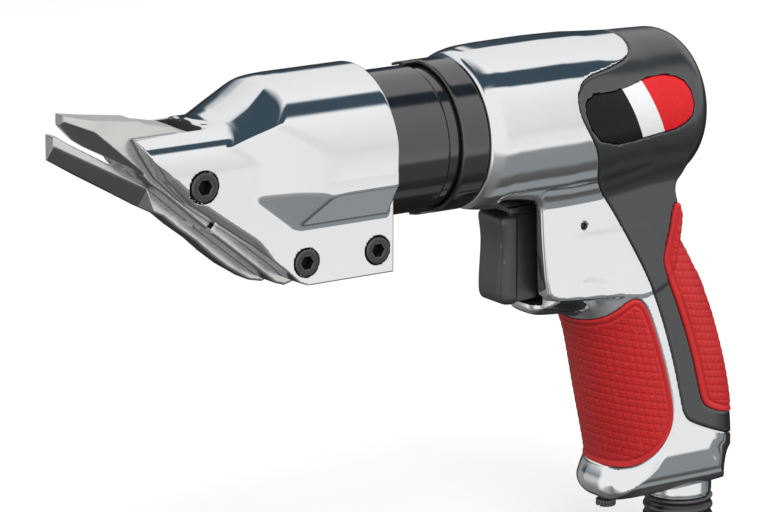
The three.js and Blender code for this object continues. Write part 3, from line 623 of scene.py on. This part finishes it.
def badge_panels():
    """Black, pale and red panels from front to rear, split by slanting lines."""
    slant = .45                     # mm in x for each mm in z
    pale_from, red_from = 50.9, 59.6
    mat = Material("badge_panels")
    place = mat.split(mat.place)
    x = mat.math("ADD", mat.math("MULTIPLY", place[0], 1000.0), REAR_X)
    z = mat.math("MULTIPLY", place[2], 1000.0)
    leaning_x = mat.math("ADD", x, mat.math("MULTIPLY", z, slant))
    red = mat.math("GREATER_THAN", leaning_x, red_from)
    pale = mat.math("GREATER_THAN", leaning_x, pale_from)
    fine = mat.noise(scale=800, rough=.6)
    black = mat.mix(fine, (.003, .003, .004), (.007, .007, .008))
    color = mat.mix(pale, black, mat.mix(fine, (.66, .67, .68), (.76, .77, .78)))
    color = mat.mix(red, color, mat.mix(fine, (.56, .006, .010), (.66, .012, .016)))
    return mat.finish(Base_Color=color, Roughness=mat.ramp(fine, (.3, .20), (.7, .30)),
                      Metallic=0.0, Normal=mat.bump(fine, strength=.04, distance=.00003),
                      Specular_IOR_Level=.2, Coat_Weight=.03)


def machined_steel():
    mat = Material("machined_steel")
    rings = mat.noise(scale=1.0, rough=.6, vector=mat.stretch((1800, 120, 120)))
    color = mat.mix(mat.noise(scale=50), (.48, .48, .48), (.62, .62, .61))
    return mat.finish(Base_Color=color, Roughness=mat.ramp(rings, (.3, .22), (.7, .40)),
                      Metallic=1.0, Normal=mat.bump(rings, strength=.1, distance=.00004))


def speckled(name, low_color, high_color, rough, metal=0.0, scale=400, strength=.1):
    mat = Material(name)
    fine = mat.noise(scale=scale, detail=4, rough=.6)
    return mat.finish(Base_Color=mat.mix(fine, low_color, high_color),
                      Roughness=mat.ramp(fine, (.3, rough - .06), (.7, rough + .06)),
                      Metallic=metal, Normal=mat.bump(fine, strength, distance=.00006))


# Keys are slot names, apart from bevel, cast and socket, which are second materials that paint shade:
# a darker ground steel on the blade bevels, near-black on the cast inner faces and in the screw
# sockets.
MATERIALS = {
    "polished": polished(),
    "ground_steel": ground("ground_steel", (.60, .59, .575), (.78, .77, .75)),
    # Painted shade: a darker copy of the ground steel for the blade bevels, which are the same steel.
    "bevel": ground("ground_bevel_painted_shade", (.40, .385, .37), (.52, .505, .485)),
    "black_gloss": black_gloss(),
    "black_oxide": black_oxide(),
    "soft_black": soft_black(),
    "red_grip": red_rubber(),
    "trigger": trigger_plastic(),
    "badge": badge_panels(),
    "steel": machined_steel(),
    "bronze": speckled("sintered_bronze", (.45, .30, .14), (.58, .40, .2), rough=.45, metal=1.0,
                       scale=900, strength=.2),
    "vane": speckled("phenolic", (.20, .11, .05), (.30, .17, .08), rough=.6, scale=300,
                     strength=.2),
    "seal": speckled("seal_rubber", (.015, .015, .016), (.03, .03, .03), rough=.6),
    # Cast inner faces: real as-cast grain, near-black as painted shade.
    "cast": cast_painted_shade_inside(),
    # Near-black painted shade inside the hex sockets of the screws, standing in for their shadow.
    "socket": speckled("socket_painted_shade", (.004, .004, .005), (.012, .012, .013), rough=.6),
    "felt": speckled("felt", (.30, .29, .26), (.45, .44, .40), rough=.95, scale=1500,
                     strength=.6),
}

# ------------------------------------------------------------------ housing, cover and grips
# Barrel radius along its length: (x, radius)
BARREL_RADIUS = Profile([
    (-20, 21.2), (-1, 22.0), (0.5, 22.6), (3, 23.8), (7, 24.5), (14, 24.75), (30, 24.9),
    (43, 24.6), (52, 23.8), (60, 23.0), (74, 22.5), (100, 22.4)], blur=5)
# Side-view outlines: (x, z)
HANDLE = Outline([
    (14, -4), (17, -12), (20.6, -16.6), (22.2, -20), (22.6, -26), (23.2, -36), (24.4, -47),
    (25.6, -51.2), (26.0, -53.0), (26.0, -55.2), (27.6, -56.6), (33, -57.4), (40.0, -58.0),
    (43.4, -60.6), (45.7, -66), (47.7, -75), (49.7, -85), (52.7, -98), (54.2, -105),
    (53.6, -108.6), (52.2, -111.6), (52.6, -115.4), (55.6, -118), (74, -118.0), (94.6, -118),
    (96.6, -116.8), (96.6, -112.4), (97.0, -109.4), (99.8, -107.0), (100.1, -104.8),
    (100.1, -101), (99.4, -92), (97.4, -81.5), (94.4, -71), (90.4, -59.4), (83.6, -46),
    (77.5, -36.5), (73.8, -30), (71.2, -25.6), (70.6, -21.5), (72.6, -18.6), (76, -14),
    (78, -4)], 2)
REAR_COVER = Outline([
    (57.4, 34), (57.6, 24.6), (56.8, 20.8), (53.4, 18.2), (44.4, 16.4), (34.6, 15.2),
    (30.4, 11.8), (29.4, 8), (30.4, 3.8), (33.6, -1.4), (36.6, -6.6), (38.2, -12.6),
    (42.4, -18.8), (47.2, -25), (54, -36), (60.9, -47.7), (66.2, -60), (70.9, -74.4),
    (74.0, -87.0), (75.2, -92.0), (78.4, -94.8), (95.5, -101.4), (110, -107), (116, -20),
    (116, 34)], 2)
FRONT_GRIP = Outline([
    (30, -61.2), (38, -61.4), (42.5, -61.0), (47.6, -59.3), (51.4, -56.4), (54.2, -54.1),
    (57.4, -53.8), (60.4, -56.6), (63.0, -62.4), (66.0, -70.6), (69, -80.4), (70.8, -88.4),
    (71.0, -93.2), (69.2, -97.6), (65.4, -102), (60.6, -105.4), (55.4, -106.7), (46, -106.9),
    (36, -105.4), (28, -104)], 2)
REAR_GRIP = Outline([
    (70.6, -25.8), (69.2, -30), (68.6, -34.6), (67.2, -39.6), (66.2, -43.8), (67.8, -48.6),
    (72.6, -59.8), (77.8, -74.2), (80.8, -86.2), (82.2, -89.8), (86, -92.0), (93.4, -94.4),
    (112, -99), (118, -40), (100, -16), (80, -18)], 2)
BADGE = Outline([
    (32.2, 10.4), (45.5, 10.5), (57, 12.6), (65.5, 12.4), (71.0, 9.4), (72.2, 1.2),
    (67.2, -2.6), (58, -3.6), (38.4, -4.7), (31.6, 3.2)], 1, pad=8)
# Square-sided block behind the trigger, at the top of the handle
BLOCK_SIDE = Outline([
    (20, -2), (22.2, -19), (23, -34), (24.6, -47.6), (27, -50.6), (36, -51.6), (50, -52.6),
    (62, -54), (70, -50), (74, -30), (72, -2)], 1)


def barrel(x, y, z):
    """Faceted above the axis at mid-length, round at both ends, with a rounded rear rim."""
    radius = BARREL_RADIUS(x)
    width = np.abs(y)
    blend = 6.0
    side = width - (radius - .15)
    top = z - (radius - .7)
    slope = .72 * width + .694 * z - (radius - .1)
    faceted = np.where(z < 0, np.hypot(y, z) - (radius - .15),
                       soft_meet(soft_meet(side, slope, blend), top, blend))
    plain = np.sqrt(y * y * 1.03 + z * z) - radius
    share = smooth_step(46, 64, x) + (1 - smooth_step(0.5, 5, x))
    shape = faceted * (1 - share) + plain * share
    return soft_meet(soft_meet(shape, x - REAR_X, 8.5), -x, 1.2)


def handle(x, y, z):
    side = HANDLE(x, z)
    width = np.abs(y)
    foot = smooth_step(-104, -110, z)
    column = (soft_meet(side, width - 15.6, 15.0) * (1 - foot)
              + soft_meet(side, width - 15.6, 12.5) * foot)
    base = -z - 118 + .12 * np.maximum(x - 74, 0)
    column = soft_meet(column, base, .8)
    block = soft_meet(soft_meet(side, BLOCK_SIDE(x, z), 1.0), width - 15.7, 1.3)
    tongue = soft_meet(soft_meet(side, np.abs(z + 54.4) - 3.6, 1.2), width - 6.7, 3.0)
    neck = soft_meet(column, z + 30, 3)
    return soft_join(soft_join(block, neck, .7), soft_meet(tongue, z + 49.5, 1), 1.5)


def body_surface(x, y, z):
    """Outer surface that the housing, cover and grips share."""
    return soft_join(barrel(x, y, z), soft_meet(handle(x, y, z), z + 4, 2), 3.2)


def housing_holes(x, y, z):
    axial = circle(y, z)
    width = np.abs(y)
    valve = circle(y, z - VALVE_Z)
    flared_width = 8.1 + .95 * np.clip(27.2 - x, 0, 30)
    return join(
        turned(axial, x, 18.9, -6, 57),
        turned(axial, x, 9, -6, 66),
        # trigger recess and its flared mouth
        meet(width - 8.1, x - 34, between(z, -53.1, -21.6)),
        meet(width - flared_width, between(z, -52.75, -21.0), x - 27.3),
        turned(valve, x, 6.4, 33, 60),
        turned(valve, x, 4.9, 33, 70.4),
        # slanting bores down the handle, and an upright one above the front of them
        rod(x, y, z, (64, 0, -36), (INLET_X, 0, -106), 3.6),
        turned(circle(x - 52, y), z, 3.4, -37, -14),
        rod(x, y, z, (52, 0, -50), (69, 0, -121), 4.2),
        # holes in the base, and the trigger pin's hole
        meet(circle(x - INLET_X, y, 8.3), z + 104),
        circle(x - PIN_X, z - PIN_Z, 1.0),
        meet(circle(x - KNOB_X, y, 2.25), z + 109.8))


def core(x, y, z, depth):
    """Inner body that the cover and grips sit on."""
    return meet(body_surface(x, y, z) + depth, x - (REAR_X - 3 - (depth - COVER_DEPTH)))


def housing(x, y, z):
    pockets = join(REAR_COVER(x, z), FRONT_GRIP(x, z)) - .14
    shell = cut(body_surface(x, y, z), pockets, .55)
    spigot = turned(circle(y, z), x, 20.2, -4.3, 1)
    return cut(join(shell, core(x, y, z, CORE_DEPTH), spigot), housing_holes(x, y, z), .3)


def rear_cover(x, y, z):
    body = body_surface(x, y, z)
    shape = soft_meet(body, REAR_COVER(x, z), .6)
    shape = cut(shape, meet(REAR_GRIP(x, z) - .12, z + 26.9), .5)
    badge_bed = meet(BADGE(x, z) - .15, BADGE_MIN_Y - np.abs(y), -(body + 1.5))
    shape = cut(shape, badge_bed, .35)
    return cut(shape, core(x, y, z, COVER_DEPTH), .1)


def pads(around, along, pitch, half):
    """Grid of small rounded squares."""
    across = np.abs((around / pitch) % 1 - .5) * pitch
    up = np.abs((along / pitch) % 1 - .5) * pitch
    return soft_meet(across - half, up - half, .45)


def wrap(x, y, z, centre_x, facing):
    """Lengths around and along the leaning handle, for a grip that faces -X (-1) or +X (1)."""
    bend = 15.5                     # radius the grip is taken to bend round
    lean = .225                     # mm in x for each mm in z
    outward = facing * (x + lean * (z + 58) - centre_x)
    angle = np.arctan2(y, np.maximum(outward, 1e-3))
    around = np.where(outward > .001, angle * bend, np.sign(y) * (bend * math.pi / 2 - outward))
    return around, (z + lean * (x - 60)) * .98


def grip(edge, centre_x, facing):
    """Field of a padded grip inside a side-view edge."""
    def field(x, y, z):
        side = edge(x, z)
        rim = -side
        # a shallow groove runs inside the rim, and the pads start within it
        height = .35 - .28 * np.exp(-((rim - 1.9) / .45) ** 2)
        padded = smooth_step(2.3, 2.8, rim)
        pad = pads(*wrap(x, y, z, centre_x, facing), pitch=2.2, half=.84)
        height = height - padded * .06 + padded * .15 * smooth_step(.24, -.24, pad)
        shape = soft_meet((body_surface(x, y, z) - height) * .9, side, .6)
        return cut(shape, core(x, y, z, COVER_DEPTH), .1)
    return field


def rear_grip_edge(x, z):
    return meet(REAR_GRIP(x, z), z + 27.0)


def badge(facing):
    """Field of the badge on the near (-1) or far (1) side."""
    def field(x, y, z):
        body = body_surface(x, y, z)
        return meet(soft_meet(body + .28, BADGE(x, z), .2), -(body + 1.42),
                    BADGE_MIN_Y - facing * y)
    return field


piece("motor_housing_shell", housing, (-4.5, -25, -118.2), (101, 25, 25.4), .62,
      "polished", "motor_housing",
      # Faces deep in the housing's bores and recesses get the cast material, near-black as painted
      # shade.
      second=("cast", lambda x, y, z: body_surface(x, y, z) < -.9))
piece("rear_cover_shell", rear_cover, (28.6, -24.6, -104), (100.9, 24.6, 25.4), .6,
      "soft_black", "rear_cover")
for made_grip in (
        piece("front_grip_rubber", grip(FRONT_GRIP, 58.0, -1),
              (40, -16.8, -107.6), (72, 16.8, -53), .42, "red_grip", "front_grip", passes=1),
        piece("rear_grip_rubber", grip(rear_grip_edge, 78.0, 1),
              (65.6, -16.8, -98), (101, 16.8, -20), .42, "red_grip", "rear_grip", passes=1)):
    made_grip.visible_glossy = False
piece("badge_near_plate", badge(-1), (31, -24.6, -5), (73, -14, 13), .4, "badge", "badge_near")
piece("badge_far_plate", badge(1), (31, 14, -5), (73, 24.6, 13), .4, "badge", "badge_far")


# ------------------------------------------------------------------ collars
def gear_case(x, y, z):
    axial = circle(y, z)
    shape = join(turned(axial, x, 20.8, -31.9, -13.0, .8),
                 turned(axial, x, 20.25, -31, -4.7, .3),
                 turned(axial, x, 19.3, -42.5, -20, .6))
    bores = join(turned(axial, x, 17.2, -30.9, -4),
                 turned(axial, x, 13.15, -38.9, -5),
                 turned(axial, x, 9, -44, -5))
    return cut(shape, bores, .3)


def clamp_nut(x, y, z):
    """Ring with two opposite lugs that reach forwards."""
    axial = circle(y, z)
    shape = cut(turned(axial, x, 21.9, -9.3, -.3, .7), axial - 20.55, .25)
    angle = np.arctan2(z, y)
    for middle in (78, 258):
        turn = (angle - math.radians(middle) + math.pi) % (2 * math.pi) - math.pi
        wall = soft_meet(axial - 21.85, 21.05 - axial, .15)
        lug = soft_meet(wall, meet(np.abs(turn) * axial - 3.1, between(x, -14.2, -6)), .3)
        shape = join(shape, lug)
    return shape


piece("gear_case_shell", gear_case, (-42.6, -20.9, -20.9), (-4.6, 20.9, 20.9), .55,
      "black_gloss", "gear_case")
piece("barrel_clamp_ring", clamp_nut, (-14.3, -22, -22), (0, 22, 22), .42,
      "black_gloss", "barrel_clamp_nut")

# ------------------------------------------------------------------ head
# Side view; its lower edge shapes the casting: (x, z)
HEAD_SIDE = Outline([
    (-109.8, 13.8), (-107.4, 9.2), (-102.8, 1.8), (-94.4, -6.2), (-85.7, -12.6),
    (-74.9, -20.2), (-64.8, -28.5), (-61.4, -31.8), (-58.6, -32.8), (-30.2, -32.8),
    (-30.2, -24.6), (-26, -24.6), (-26, 30), (-62, 30), (-68, 30), (-110, 30)], pad=16)
HEAD_TOP = Profile([                # (x, z)
    (-116, 13.8), (-86, 13.6), (-82, 13.4), (-78, 14.6), (-72.6, 17.6), (-66.4, 21.7),
    (-62.5, 23.4), (-58, 24.1), (-20, 24.3)], blur=3)
HEAD_WIDTH = Profile([              # (x, half width)
    (-116, 14), (-82, 16.2), (-77, 17.4), (-72, 18.9), (-64, 21.2), (-56, 23.2), (-50, 23.8),
    (-20, 23.8)], blur=7)
BLADE_SLOT = Outline([              # (x, z)
    (-140, 40), (-140, -45), (-20, -45), (-20, -25), (-45.6, -25), (-45.6, 15.4), (-63, 15.4),
    (-67, 10.6), (-86.6, 10.6), (-87.6, 40)], pad=4)
# Flats on the round part: (normal x, |y|, z, distance, rounding)
HEAD_FLATS = [(-.43, .45, .783, 49.6, .6), (0, .845, -.534, 23.75, .3),
              (-.256, .910, -.328, 37.6, .3)]


def head_outer(x, y, z):
    width = np.abs(y)
    axial = circle(y, z)
    drum = np.where(z < 0, np.minimum(axial, np.hypot(y, z + 6.0)), axial) - 24.25
    drum = soft_meet(drum, width - HEAD_WIDTH(x) - .15, .8)
    drum = soft_meet(drum, (z - HEAD_TOP(x) - 1.0 + .014 * y * y) * .82, 1.4)
    for part_x, part_y, part_z, distance, rounding in HEAD_FLATS:
        flat = part_x * x + part_y * width + part_z * z - distance
        drum = soft_meet(drum, flat, rounding)
    drum = soft_meet(drum, -94 - x, 1)
    drum = soft_meet(drum, x + 32.1, .9)
    nose_top = soft_meet(.52 * width + .854 * z - 16.6, z - 13.9, 1.2)
    slab = soft_meet(soft_meet(width - HEAD_HALF_WIDTH, nose_top, 5), x + 30.2, .5)
    side = HEAD_SIDE(x, z)
    chamfer = (side * .644 + (width - HEAD_HALF_WIDTH) * .765 + 1.2
               - 4 * smooth_step(-76, -58, x))
    return soft_meet(soft_join(drum, slab, .6), soft_meet(side, chamfer, .35), .35)


def head(x, y, z):
    slot = meet(BLADE_SLOT(x, z), between(y, -9, 9.6))
    shape = cut(head_outer(x, y, z), slot, .45 + .5 * (1 - smooth_step(-70, -58, x)))
    shape = cut(shape, meet(circle(y, z, 19.6), -44.4 - x), .4)
    for screw in SCREWS:
        radial = circle(x - screw.x, z - screw.z)
        bore = join(radial - screw.shank_bore, meet(radial - screw.head_bore, y + 13.9))
        shape = cut(shape, bore, .22)
        nut = hexagon(x - screw.x, z - screw.z, screw.nut)
        shape = cut(shape, meet(nut, 14 - y), .22)
    return shape


# Mask of faces inside the head's outer surface, mostly the blade slot and rear bore, which get the
# near-black painted shade.
def head_inside_shade_mask(x, y, z):
    return (head_outer(x, y, z) < -.7) & ((np.abs(y) < 9.8) | (x > -45))


piece("shear_head_casting", head, (-110.0, -24.4, -33), (-30, 24.4, 24.5), .52,
      # The head's inner faces get the cast material, near-black as painted shade.
      "polished", "shear_head", second=("cast", head_inside_shade_mask))

# ------------------------------------------------------------------ blades
# Side views: (x, z)
MOVING = Outline([
    (-127.3, 20.9), (-127.4, 17.7), (-122.9, 13), (-119.4, 10.7), (-112.7, 7.2),
    (-107.2, 4.1), (-103.6, .2), (-100.2, -2.6), (-88.9, -12.4), (-85.8, -15), (-79.5, -8.4),
    (-70, -7.6), (-59.5, -9.4), (-57, -13.9), (-43.6, -13.9), (-43.6, -10.9), (-53, -10.9),
    (-53, 7.5), (-43.6, 7.5), (-43.6, 10.4), (-57, 10.4), (-62, 7.4), (-72, 6), (-82, 7.2),
    (-87.4, 11.2), (-91.5, 13), (-94.5, 13.9), (-96.4, 15.2), (-105, 16.9), (-107, 17.9),
    (-121, 19.8)], step=.2)
FIXED = Outline([
    (-127.8, 14.1), (-126.9, 14.3), (-123.5, 12), (-107.1, 2.6), (-102.4, 3), (-98, 7.4),
    (-92, 9), (-86, 7.2), (-79.6, -1.6), (-69, -11), (-58, -16), (-48.4, -17),
    (-46.4, -25.4), (-31, -25.4), (-31, -33.6), (-58, -33.8), (-61.6, -35.2), (-66, -34.2),
    (-72.9, -29.8), (-78, -25.7), (-83.1, -21), (-88.9, -16.6), (-93.5, -12.6),
    (-98.5, -10), (-106.1, -5.5), (-115.6, 0), (-123.1, 4.4), (-127.8, 7.1)], step=.2)
SPACER = Outline([
    (-84, -16.7), (-71.6, -26.8), (-63.5, -33.4), (-60.5, -34.4), (-57.5, -33.6),
    (-31, -33.6), (-31, -25.4), (-46.4, -25.4), (-48.4, -17.4), (-60, -17.4),
    (-76.2, -9.8), (-78.9, -8.7), (-84.3, -15.2)], step=.2)
MOVING_Y = (-8.7, .85)       # near and far faces; the spacer fills the same gap
FIXED_Y = (1.1, 9.3)
# Planes as three points on them and a point outside
MOVING_BEVEL = facet(((-123.7, -8.7, 19.0), (-112.6, -8.7, 9.4), (-122.9, .5, 12.8)),
                     (-120.0, -8.7, 5.0))
MOVING_TIP = facet(((-128, -3.2, 30), (-128, -3.2, 10), (-120.5, -8.8, 30)),
                   (-127.0, -8.0, 20.0))
FIXED_RELIEF = facet(((-132, 1.1, 13.8), (-108, 1.1, .9), (-132, 6.4, 7.8)),
                     (-120.0, 1.0, -5.0))
FIXED_TIP = facet(((-129, 5.2, 20), (-129, 5.2, 0), (-119, 9.5, 20)), (-128.0, 9.0, 10.0))


def moving_bevel(x, y, z):
    """Runs in from a line on the near face to the cutting edge; fades out towards the rear."""
    return MOVING_BEVEL(x, y, z) - np.maximum(x + 105.6, 0) * 1.6


def fixed_relief(x, y, z):
    return FIXED_RELIEF(x, y, z) - np.maximum(x + 99, 0) * 1.4


def drilled(shape, x, z, holes):
    for screw, radius in holes:
        shape = cut(shape, circle(x - screw.x, z - screw.z, radius), .2)
    return shape


CLAMP_HOLES = [(clamp, clamp.shank_bore) for clamp in CLAMPS]


def blade(outline, faces, bevel, tip, holes):
    """Field of a blade, with crisper edges towards the front."""
    def field(x, y, z):
        rounding = .2 + .6 * smooth_step(-104, -98, x)
        shape = soft_meet(outline(x, z), between(y, *faces), rounding)
        shape = soft_meet(shape, bevel(x, y, z), .25)
        shape = soft_meet(shape, tip(x, y, z), .25)
        return drilled(shape, x, z, holes)
    return field


def spacer(x, y, z):
    return drilled(soft_meet(SPACER(x, z), between(y, *MOVING_Y), .8), x, z, CLAMP_HOLES)


piece("moving_blade_steel", blade(MOVING, MOVING_Y, moving_bevel, MOVING_TIP, [(PIVOT, 5.09)]),
      (-127.5, -8.8, -15.1), (-43.5, .9, 21), .4, "ground_steel", "moving_blade",
      body="moving_blade", passes=1,
      # The bevel facet gets the darker ground steel as painted shade.
      second=("bevel", lambda x, y, z: np.abs(moving_bevel(x, y, z)) < .12))
piece("fixed_blade_steel",
      blade(FIXED, FIXED_Y, fixed_relief, FIXED_TIP, [(PIVOT, 3.12), *CLAMP_HOLES]),
      (-127.9, 1, -35.3), (-30.9, 9.4, 15), .4, "ground_steel", "fixed_blade", passes=1,
      # The relief facet gets the darker ground steel as painted shade.
      second=("bevel", lambda x, y, z: np.abs(fixed_relief(x, y, z)) < .12))
piece("blade_spacer_steel", spacer, (-84.4, -8.8, -34.5), (-30.9, .9, -8.6), .4,
      "ground_steel", "blade_spacer", passes=1)


# ------------------------------------------------------------------ screws and pin
def make_screw(screw):
    """Socket-head screw with its head on the near side."""
    def field(x, y, z):
        radial = circle(x - screw.x, z - screw.z)
        socket = hexagon(x - screw.x, z - screw.z, screw.head * .54)
        shape = cut(turned(radial, y, screw.head, -18.3, -14, .45), meet(socket, y + 14.9), .18)
        return join(shape, turned(radial, y, screw.shank, -14.5, 17, .3))

    # Mask of the faces inside the hex socket, which get the near-black painted shade.
    def socket_shade_mask(x, y, z):
        return (y > -17.9) & (circle(x - screw.x, z - screw.z) < screw.head * .6)

    # The socket's faces get the near-black painted shade.
    piece(screw.name + "_detail", field, (screw.x - screw.head, -18.4, screw.z - screw.head),
          (screw.x + screw.head, 17.1, screw.z + screw.head), .27, "black_oxide", screw.name,
          passes=1, second=("socket", socket_shade_mask))


def trigger_pin(x, y, z):
    return soft_meet(circle(x - PIN_X, z - PIN_Z, .86), np.abs(y) - 14.4, .3)


for each_screw in SCREWS:
    make_screw(each_screw)
piece("trigger_pin_detail", trigger_pin, (36.5, -14.6, -30.5), (38.5, 14.6, -28.3), .2,
      "black_oxide", "trigger_pin", passes=1)

# ------------------------------------------------------------------ trigger
# Side view: (x, z); the two rear corners stay sharp
TRIGGER_SIDE = Outline([
    (14.6, -27.2), (15.0, -25.8), (16.6, -24.9), (20, -24.8), (28.6, -24.9), (28.6, -51.9),
    (21.0, -52.4), (16.4, -52.2), (15.0, -50.4), (14.9, -45.4), (15.4, -39), (15.6, -34),
    (15.1, -30)], 2, keep=(4, 5), step=.2)


def trigger(x, y, z):
    side = TRIGGER_SIDE(x, z)
    width = np.abs(y)
    pad = soft_meet(soft_meet(side, width - 6.95, 2.6), x - 20.2, .8)
    stem = soft_meet(soft_meet(side + .7, width - 6.2, .8), 18 - x, .5)
    top = soft_meet(soft_meet(np.abs(z + 24.3) - 1.1, width - 6.5, .5),
                    between(x, 17.6, 28.6), .5)
    bore = meet(circle(y, z - VALVE_Z, 2.15), 24 - x)
    return cut(join(soft_join(pad, stem, .5), top), bore, .2)


piece("trigger_pad", trigger, (14.4, -7.1, -52.6), (28.8, 7.1, -23), .33,
      "trigger", "trigger", body="trigger")


# ------------------------------------------------------------------ base fittings
def inlet(x, y, z):
    radial = circle(x - INLET_X, y)
    ribs = .35 * np.cos((z + 121.3) * 2 * math.pi / 3.1)
    shape = join(turned(radial, z, 10.15 + ribs, -134, -120.9, .8),
                 turned(radial, z, 9.0, -123, -118.4, .2),
                 turned(radial, z, 8.1, -120, -105, .3))
    return cut(shape, radial - 5.6, .4)


def inlet_ring(x, y, z):
    radial = circle(x - INLET_X, y)
    radius = 10.0 - .25 * smooth_step(-119.4, -120.4, z)
    return cut(turned(radial, z, radius, -120.75, -115.2, .35), radial - 9.15, .2)


def knob(x, y, z):
    """Fluted disc with a slot across its underside, on a stem."""
    radial = circle(x - KNOB_X, y)
    flutes = .12 * np.cos(np.arctan2(y, x - KNOB_X) * 18)
    disc = turned(radial, z, 2.9 + flutes, -120.4, -118.3, .4)
    disc = cut(disc, meet(np.abs(y) - .45, z + 119.8), .1)
    return join(disc, turned(radial, z, 2.0, -119, -110.5, .3))


piece("inlet_bushing_ribbed", inlet, (74.4, -10.6, -134.1), (95.6, 10.6, -104.9), .42,
      "black_oxide", "inlet_bushing")
piece("inlet_ring_bright", inlet_ring, (74.8, -10.2, -120.9), (95.2, 10.2, -115.0), .33,
      "polished", "inlet_ring")
piece("regulator_knob_detail", knob, (54.3, -3.7, -121.7), (61.7, 3.7, -110.4), .25,
      "black_oxide", "regulator_knob", body="regulator_knob")

# ------------------------------------------------------------------ materials of the CAD pieces
for subpart in frame["record"]["subparts"]:
    cad_object = frame["nodes"][subpart["node"]]
    slot_material = MATERIALS[subpart["material_slot"]]
    if not cad_object.material_slots:
        cad_object.data.materials.append(slot_material)
    for material_slot in cad_object.material_slots:
        material_slot.material = slot_material


# ------------------------------------------------------------------ floor
def make_floor():
    """Large plane that looks pale but throws only a little light back on the tool."""
    bpy.ops.mesh.primitive_plane_add(size=60, location=(0, 0, -.1365))
    floor = bpy.context.object
    floor.name = "floor"
    mat = Material("pale_floor")
    path = mat.new("ShaderNodeLightPath")
    pale = mat.mix(mat.noise(scale=3), (.90, .90, .90), (.94, .94, .94))
    color = mat.mix(path.outputs["Is Diffuse Ray"], pale, (.20, .20, .205))
    floor.data.materials.append(mat.finish(Base_Color=color, Roughness=.9, Metallic=0.0))
    floor.visible_glossy = False


make_floor()

# ------------------------------------------------------------------ world
# What reflections see round the X axis: (degrees, tone). 0 is the far side, 90 overhead,
# 180 the near side, and -90 and 270 straight down.
BLUE = (.045, .075, .105)
BACKWARD = [
    (-90, .06), (-60, .03), (0, .03), (19, BLUE), (25, .88), (91.5, .97), (95, BLUE),
    (113, BLUE), (117, 1.0), (150, .88), (182, .80), (203, .96), (207, (.27, .285, .295)),
    (234, (.26, .275, .285)), (239, .13), (251, .09), (255, (.29, .305, .315)),
    (266, (.29, .305, .315)), (270, .06)]
FORWARD = [
    (-90, .10), (-45, .16), (-12, .34), (2, .30), (10, BLUE), (26, BLUE), (31, .80),
    (48, .92), (54, .92), (59, BLUE), (113, BLUE), (118, .95), (175, .95), (201, .93),
    (208, .42), (232, .25), (270, .10)]
FRONT = [(-90, .20), (-45, .50), (-30, .95), (225, .95), (245, .45), (270, .20)]


def make_world():
    """Soft boxes for reflections, a plain gradient for diffuse light, white for the camera."""
    world = bpy.data.worlds.new("studio")
    bpy.context.scene.world = world
    world.use_nodes = True
    graph = Graph(world.node_tree)
    toward = graph.split(graph.new("ShaderNodeTexCoord").outputs["Generated"])
    angle = graph.math("ARCTAN2", toward[2], toward[1])
    degrees = graph.math("MULTIPLY", angle, 180 / math.pi)
    wrapped = graph.math("MULTIPLY", graph.math("LESS_THAN", degrees, -90.0), 360.0)
    degrees = graph.math("ADD", degrees, wrapped)
    turn = graph.math("DIVIDE", graph.math("ADD", degrees, 90.0), 360.0)

    def sky_ramp(stops):
        return graph.ramp(turn, *[((degree + 90) / 360, tone) for degree, tone in stops])

    def step(start, end, value):
        node = graph.new("ShaderNodeMapRange", interpolation_type="SMOOTHSTEP")
        node.inputs["From Min"].default_value = start
        node.inputs["From Max"].default_value = end
        graph.put(node.inputs["Value"], value)
        return node.outputs[0]

    boxes = graph.mix(step(start=-.10, end=.30, value=toward[0]),
                      sky_ramp(FORWARD), sky_ramp(BACKWARD))
    boxes = graph.mix(step(start=-.80, end=-.50, value=toward[0]), sky_ramp(FRONT), boxes)
    diffuse = graph.mix(step(start=-.45, end=.55, value=toward[2]),
                        (.30, .30, .31), (1.0, 1.0, 1.0))
    path = graph.new("ShaderNodeLightPath").outputs
    plain = graph.mix(path["Is Diffuse Ray"], (1, 1, 1), diffuse)
    sky = graph.mix(path["Is Glossy Ray"], plain, boxes)
    background = graph.new("ShaderNodeBackground")
    background.inputs[1].default_value = 1.0
    graph.put(background.inputs[0], sky)
    output = graph.new("ShaderNodeOutputWorld")
    graph.put(output.inputs[0], background.outputs[0])


make_world()


# ------------------------------------------------------------------ lights and camera
def aim(thing, direction):
    thing.rotation_euler = direction.to_track_quat("-Z", "Y").to_euler()


def area_light(name, offset, size, energy):
    """Square light, hidden from reflections and aimed at the middle of the tool."""
    target = Vector(to_row((-10, 0, -30)))
    light = bpy.data.lights.new(name, "AREA")
    light.energy = energy
    light.size = size
    lamp = bpy.data.objects.new(name, light)
    bpy.context.scene.collection.objects.link(lamp)
    lamp.location = place = target + Vector(offset)
    aim(lamp, target - place)
    lamp.visible_glossy = False


def make_camera():
    azimuth = math.radians(34)      # from the near side towards the front
    elevation = math.radians(14)
    distance = 1.300
    data = bpy.data.cameras.new("camera")
    data.sensor_width = 36
    data.lens = 215.109375
    data.clip_end = 100
    camera = bpy.data.objects.new("camera", data)
    bpy.context.scene.collection.objects.link(camera)
    bpy.context.scene.camera = camera
    back = Vector((-math.sin(azimuth) * math.cos(elevation),
                   -math.cos(azimuth) * math.cos(elevation), math.sin(elevation)))
    camera.location = Vector(to_row((-21.5, 0, -33.2))) + back * distance
    aim(camera, -back)


area_light("key", offset=(-.35, -.9, .9), size=.8, energy=9)
area_light("fill", offset=(.9, -.7, .3), size=.9, energy=4)
make_camera()
bpy.context.scene.view_settings.view_transform = "Standard"
